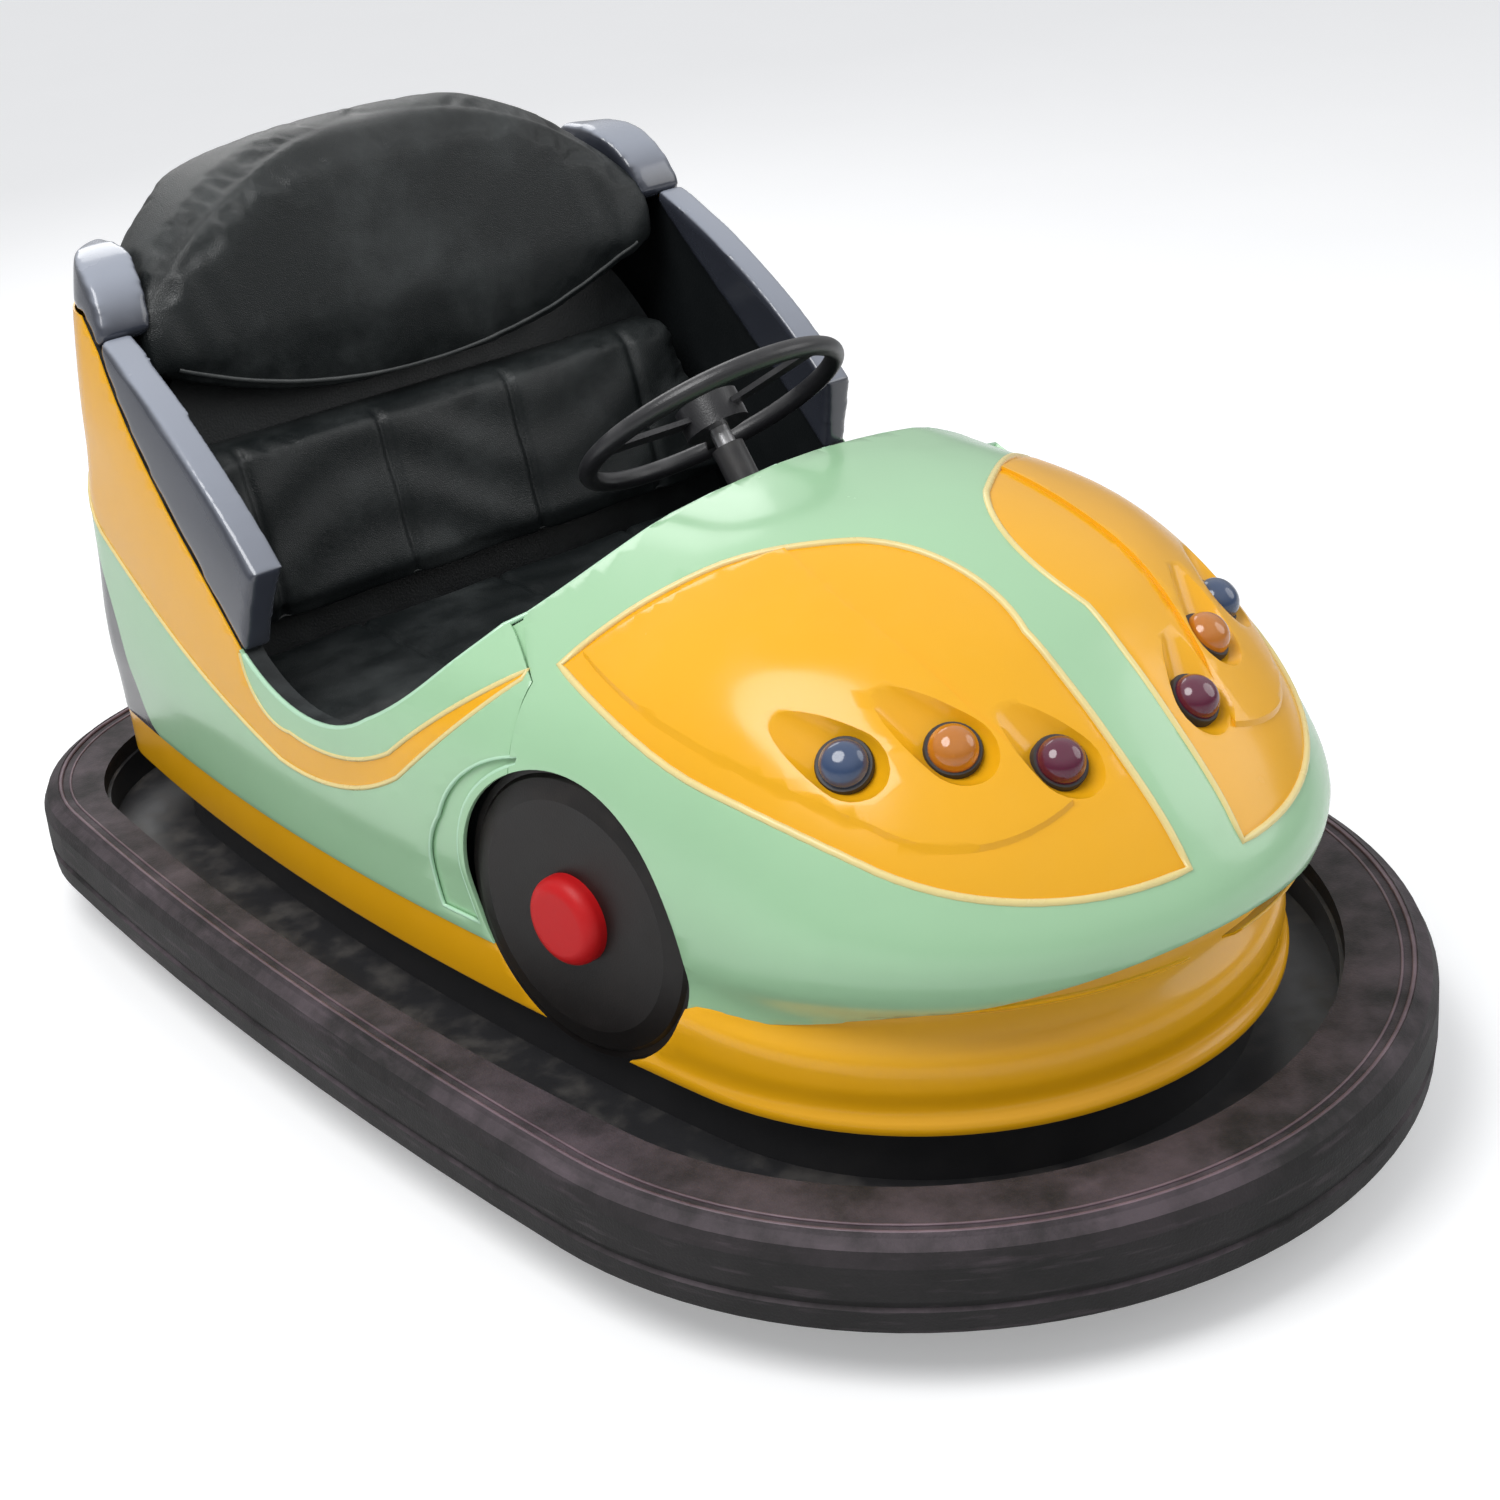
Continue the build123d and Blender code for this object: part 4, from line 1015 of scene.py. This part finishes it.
stuffed("seat_cushion", "seat_cushion_vinyl", 0.010, seat_seams)
stuffed("back_cushion", "back_cushion_vinyl", 0.010, back_seams)
pad_side = [(588, 646), (539, 646), (535, 760)]
pad_side += arcs((565, 935), (612, 984), (690, 963), (754, 910), (782, 812)) + [(640, 812)]
pad_ahead = arcs((-394, 802), (-258, 925), (0, 986), (258, 925), (394, 802))
pad_ahead += arc((394, 735), (0, 640), (-394, 735), 30)
pad_form = prism(pad_side, part=0)
pad_form = carved(pad_form, "INTERSECT", prism(pad_ahead, -100, 1200, "front", 0), lofted(TUB_ROWS, 5))
pad = stuffed("head_pad", "head_pad_vinyl", 0.007, pad_seams, pad_form, 32)
pad_rays = rays_of(pad)
piping = []
for x, z in arc((350, 742), (0, 662), (-350, 742), 48):
    hit, normal, _, _ = pad_rays.ray_cast(Vector((x * MM, 0, z * MM)), Vector((0, 1, 0)))
    piping.append(hit - PIPING_BED * normal)
# Painted highlight: the piping is a lighter grey vinyl than the cushions, for the light along the pad's lower
# edge.
piping_highlight_vinyl = finish("piping_highlight_vinyl", vinyl_effect, (0.3, 0.0004), {
    "Vinyl": (0.05, 0.055, 0.055, 1), "Rubbed": (0.14, 0.145, 0.14, 1),
})
ribbon("pad_piping", piping, PIPING_R, piping_highlight_vinyl, False)
bpy.data.objects.remove(pad_form)


# ---- Steering wheel --------------------------------------------------
# A thin three-spoke wheel moulded in dark grey plastic over a steel core, its grip worn smooth.
wheel_grip = finish("wheel_grip", coat_effect, (0.4, 0.0006), {
    "Paint": (0.018, 0.018, 0.02, 1), "Dust": (0.2, 0.2, 0.2, 1), "Dust Amount": 0.2,
    "Gloss": 0.32, "Drift": 0.3,
})
dress(wheel_grip, "steering_wheel")


# ---- Studio ----------------------------------------------------------
# A plain pale floor and background, soft lamps above and to both sides, and the camera.
HALF_FLOOR = 9
WHITE = (1, 1, 1, 1)
floor_corners = [(x * HALF_FLOOR, y * HALF_FLOOR, 0) for x, y in ((-1, -1), (1, -1), (1, 1), (-1, 1))]
floor_mesh = bpy.data.meshes.new("studio_floor")
floor_mesh.from_pydata(floor_corners, [], [(0, 1, 2, 3)])
studio_floor = placed("studio_floor", floor_mesh)
floor_paint = bpy.data.materials.new("floor_paint")
floor_paint.use_nodes = True
tree = floor_paint.node_tree
shader = tree.nodes["Principled BSDF"]
shader.inputs["Roughness"].default_value = 0.9
seen = add(tree, "ShaderNodeLightPath")
speck = noise(tree, own_place(tree), 3.0)
specked = mix(tree, "MIX", speck, (0.86, 0.86, 0.86, 1), (0.89, 0.89, 0.89, 1))
tree.links.new(specked, shader.inputs["Base Color"])
shader.inputs["Emission Color"].default_value = WHITE
glow = maths(tree, "MULTIPLY", seen.outputs["Is Camera Ray"], 0.30)
tree.links.new(glow, shader.inputs["Emission Strength"])
floor_mesh.materials.append(floor_paint)

world = bpy.data.worlds.new("studio")
bpy.context.scene.world = world
world.use_nodes = True
tree = world.node_tree
sky = tree.nodes["Background"]
seen = add(tree, "ShaderNodeLightPath")
direct = maths(tree, "MAXIMUM", seen.outputs["Is Camera Ray"], seen.outputs["Is Transmission Ray"])
height = part_of(tree, add(tree, "ShaderNodeTexCoord").outputs["Generated"], "Z")
glossy = spread(tree, height, -0.1, 0.8, 0.30, 0.95)
soft = mix(tree, "MIX", seen.outputs["Is Glossy Ray"], (0.50, 0.51, 0.53, 1), WHITE)
tree.links.new(mix(tree, "MIX", direct, soft, WHITE), sky.inputs["Color"])
level = maths(tree, "MULTIPLY", seen.outputs["Is Glossy Ray"], maths(tree, "SUBTRACT", glossy, 1.0))
tree.links.new(maths(tree, "ADD", 1.0, level), sky.inputs["Strength"])


def lamp(name, spot, aim, size, power):
    light = bpy.data.lights.new(name, "AREA")
    light.shape = "DISK"
    light.size = size
    light.energy = power
    holder = placed(name, light)
    holder.location = spot
    holder.rotation_euler = (Vector(aim) - Vector(spot)).to_track_quat("-Z", "Y").to_euler()


lamp("key_lamp", (-1.8, -0.6, 3.4), (0, -0.2, 0.4), 2.2, 78)
lamp("side_lamp", (3.0, -2.2, 2.2), (0, -0.3, 0.4), 2.6, 30)
lamp("rear_lamp", (0.8, 3.2, 2.6), (0, 0.3, 0.5), 2.4, 30)

EYE = (-1.564, -2.277, 1.642)
YAW, PITCH, ROLL = 35.75, 26.52, -5.25
LENS = 59.844
yaw, pitch, roll = (math.radians(angle) for angle in (YAW, PITCH, ROLL))
ahead = Vector((math.sin(yaw) * math.cos(pitch), math.cos(yaw) * math.cos(pitch), -math.sin(pitch)))
level_right = ahead.cross(Vector((0, 0, 1))).normalized()
level_up = level_right.cross(ahead)
right = math.cos(roll) * level_right + math.sin(roll) * level_up
up = -math.sin(roll) * level_right + math.cos(roll) * level_up
camera = placed("camera", bpy.data.cameras.new("camera"))
camera.data.lens = LENS
camera.data.sensor_width = 36
camera_place = Matrix((right, up, -ahead)).transposed().to_4x4()
camera_place.translation = EYE
camera.matrix_world = camera_place
bpy.context.scene.camera = camera
bpy.context.scene.view_settings.view_transform = "Standard"
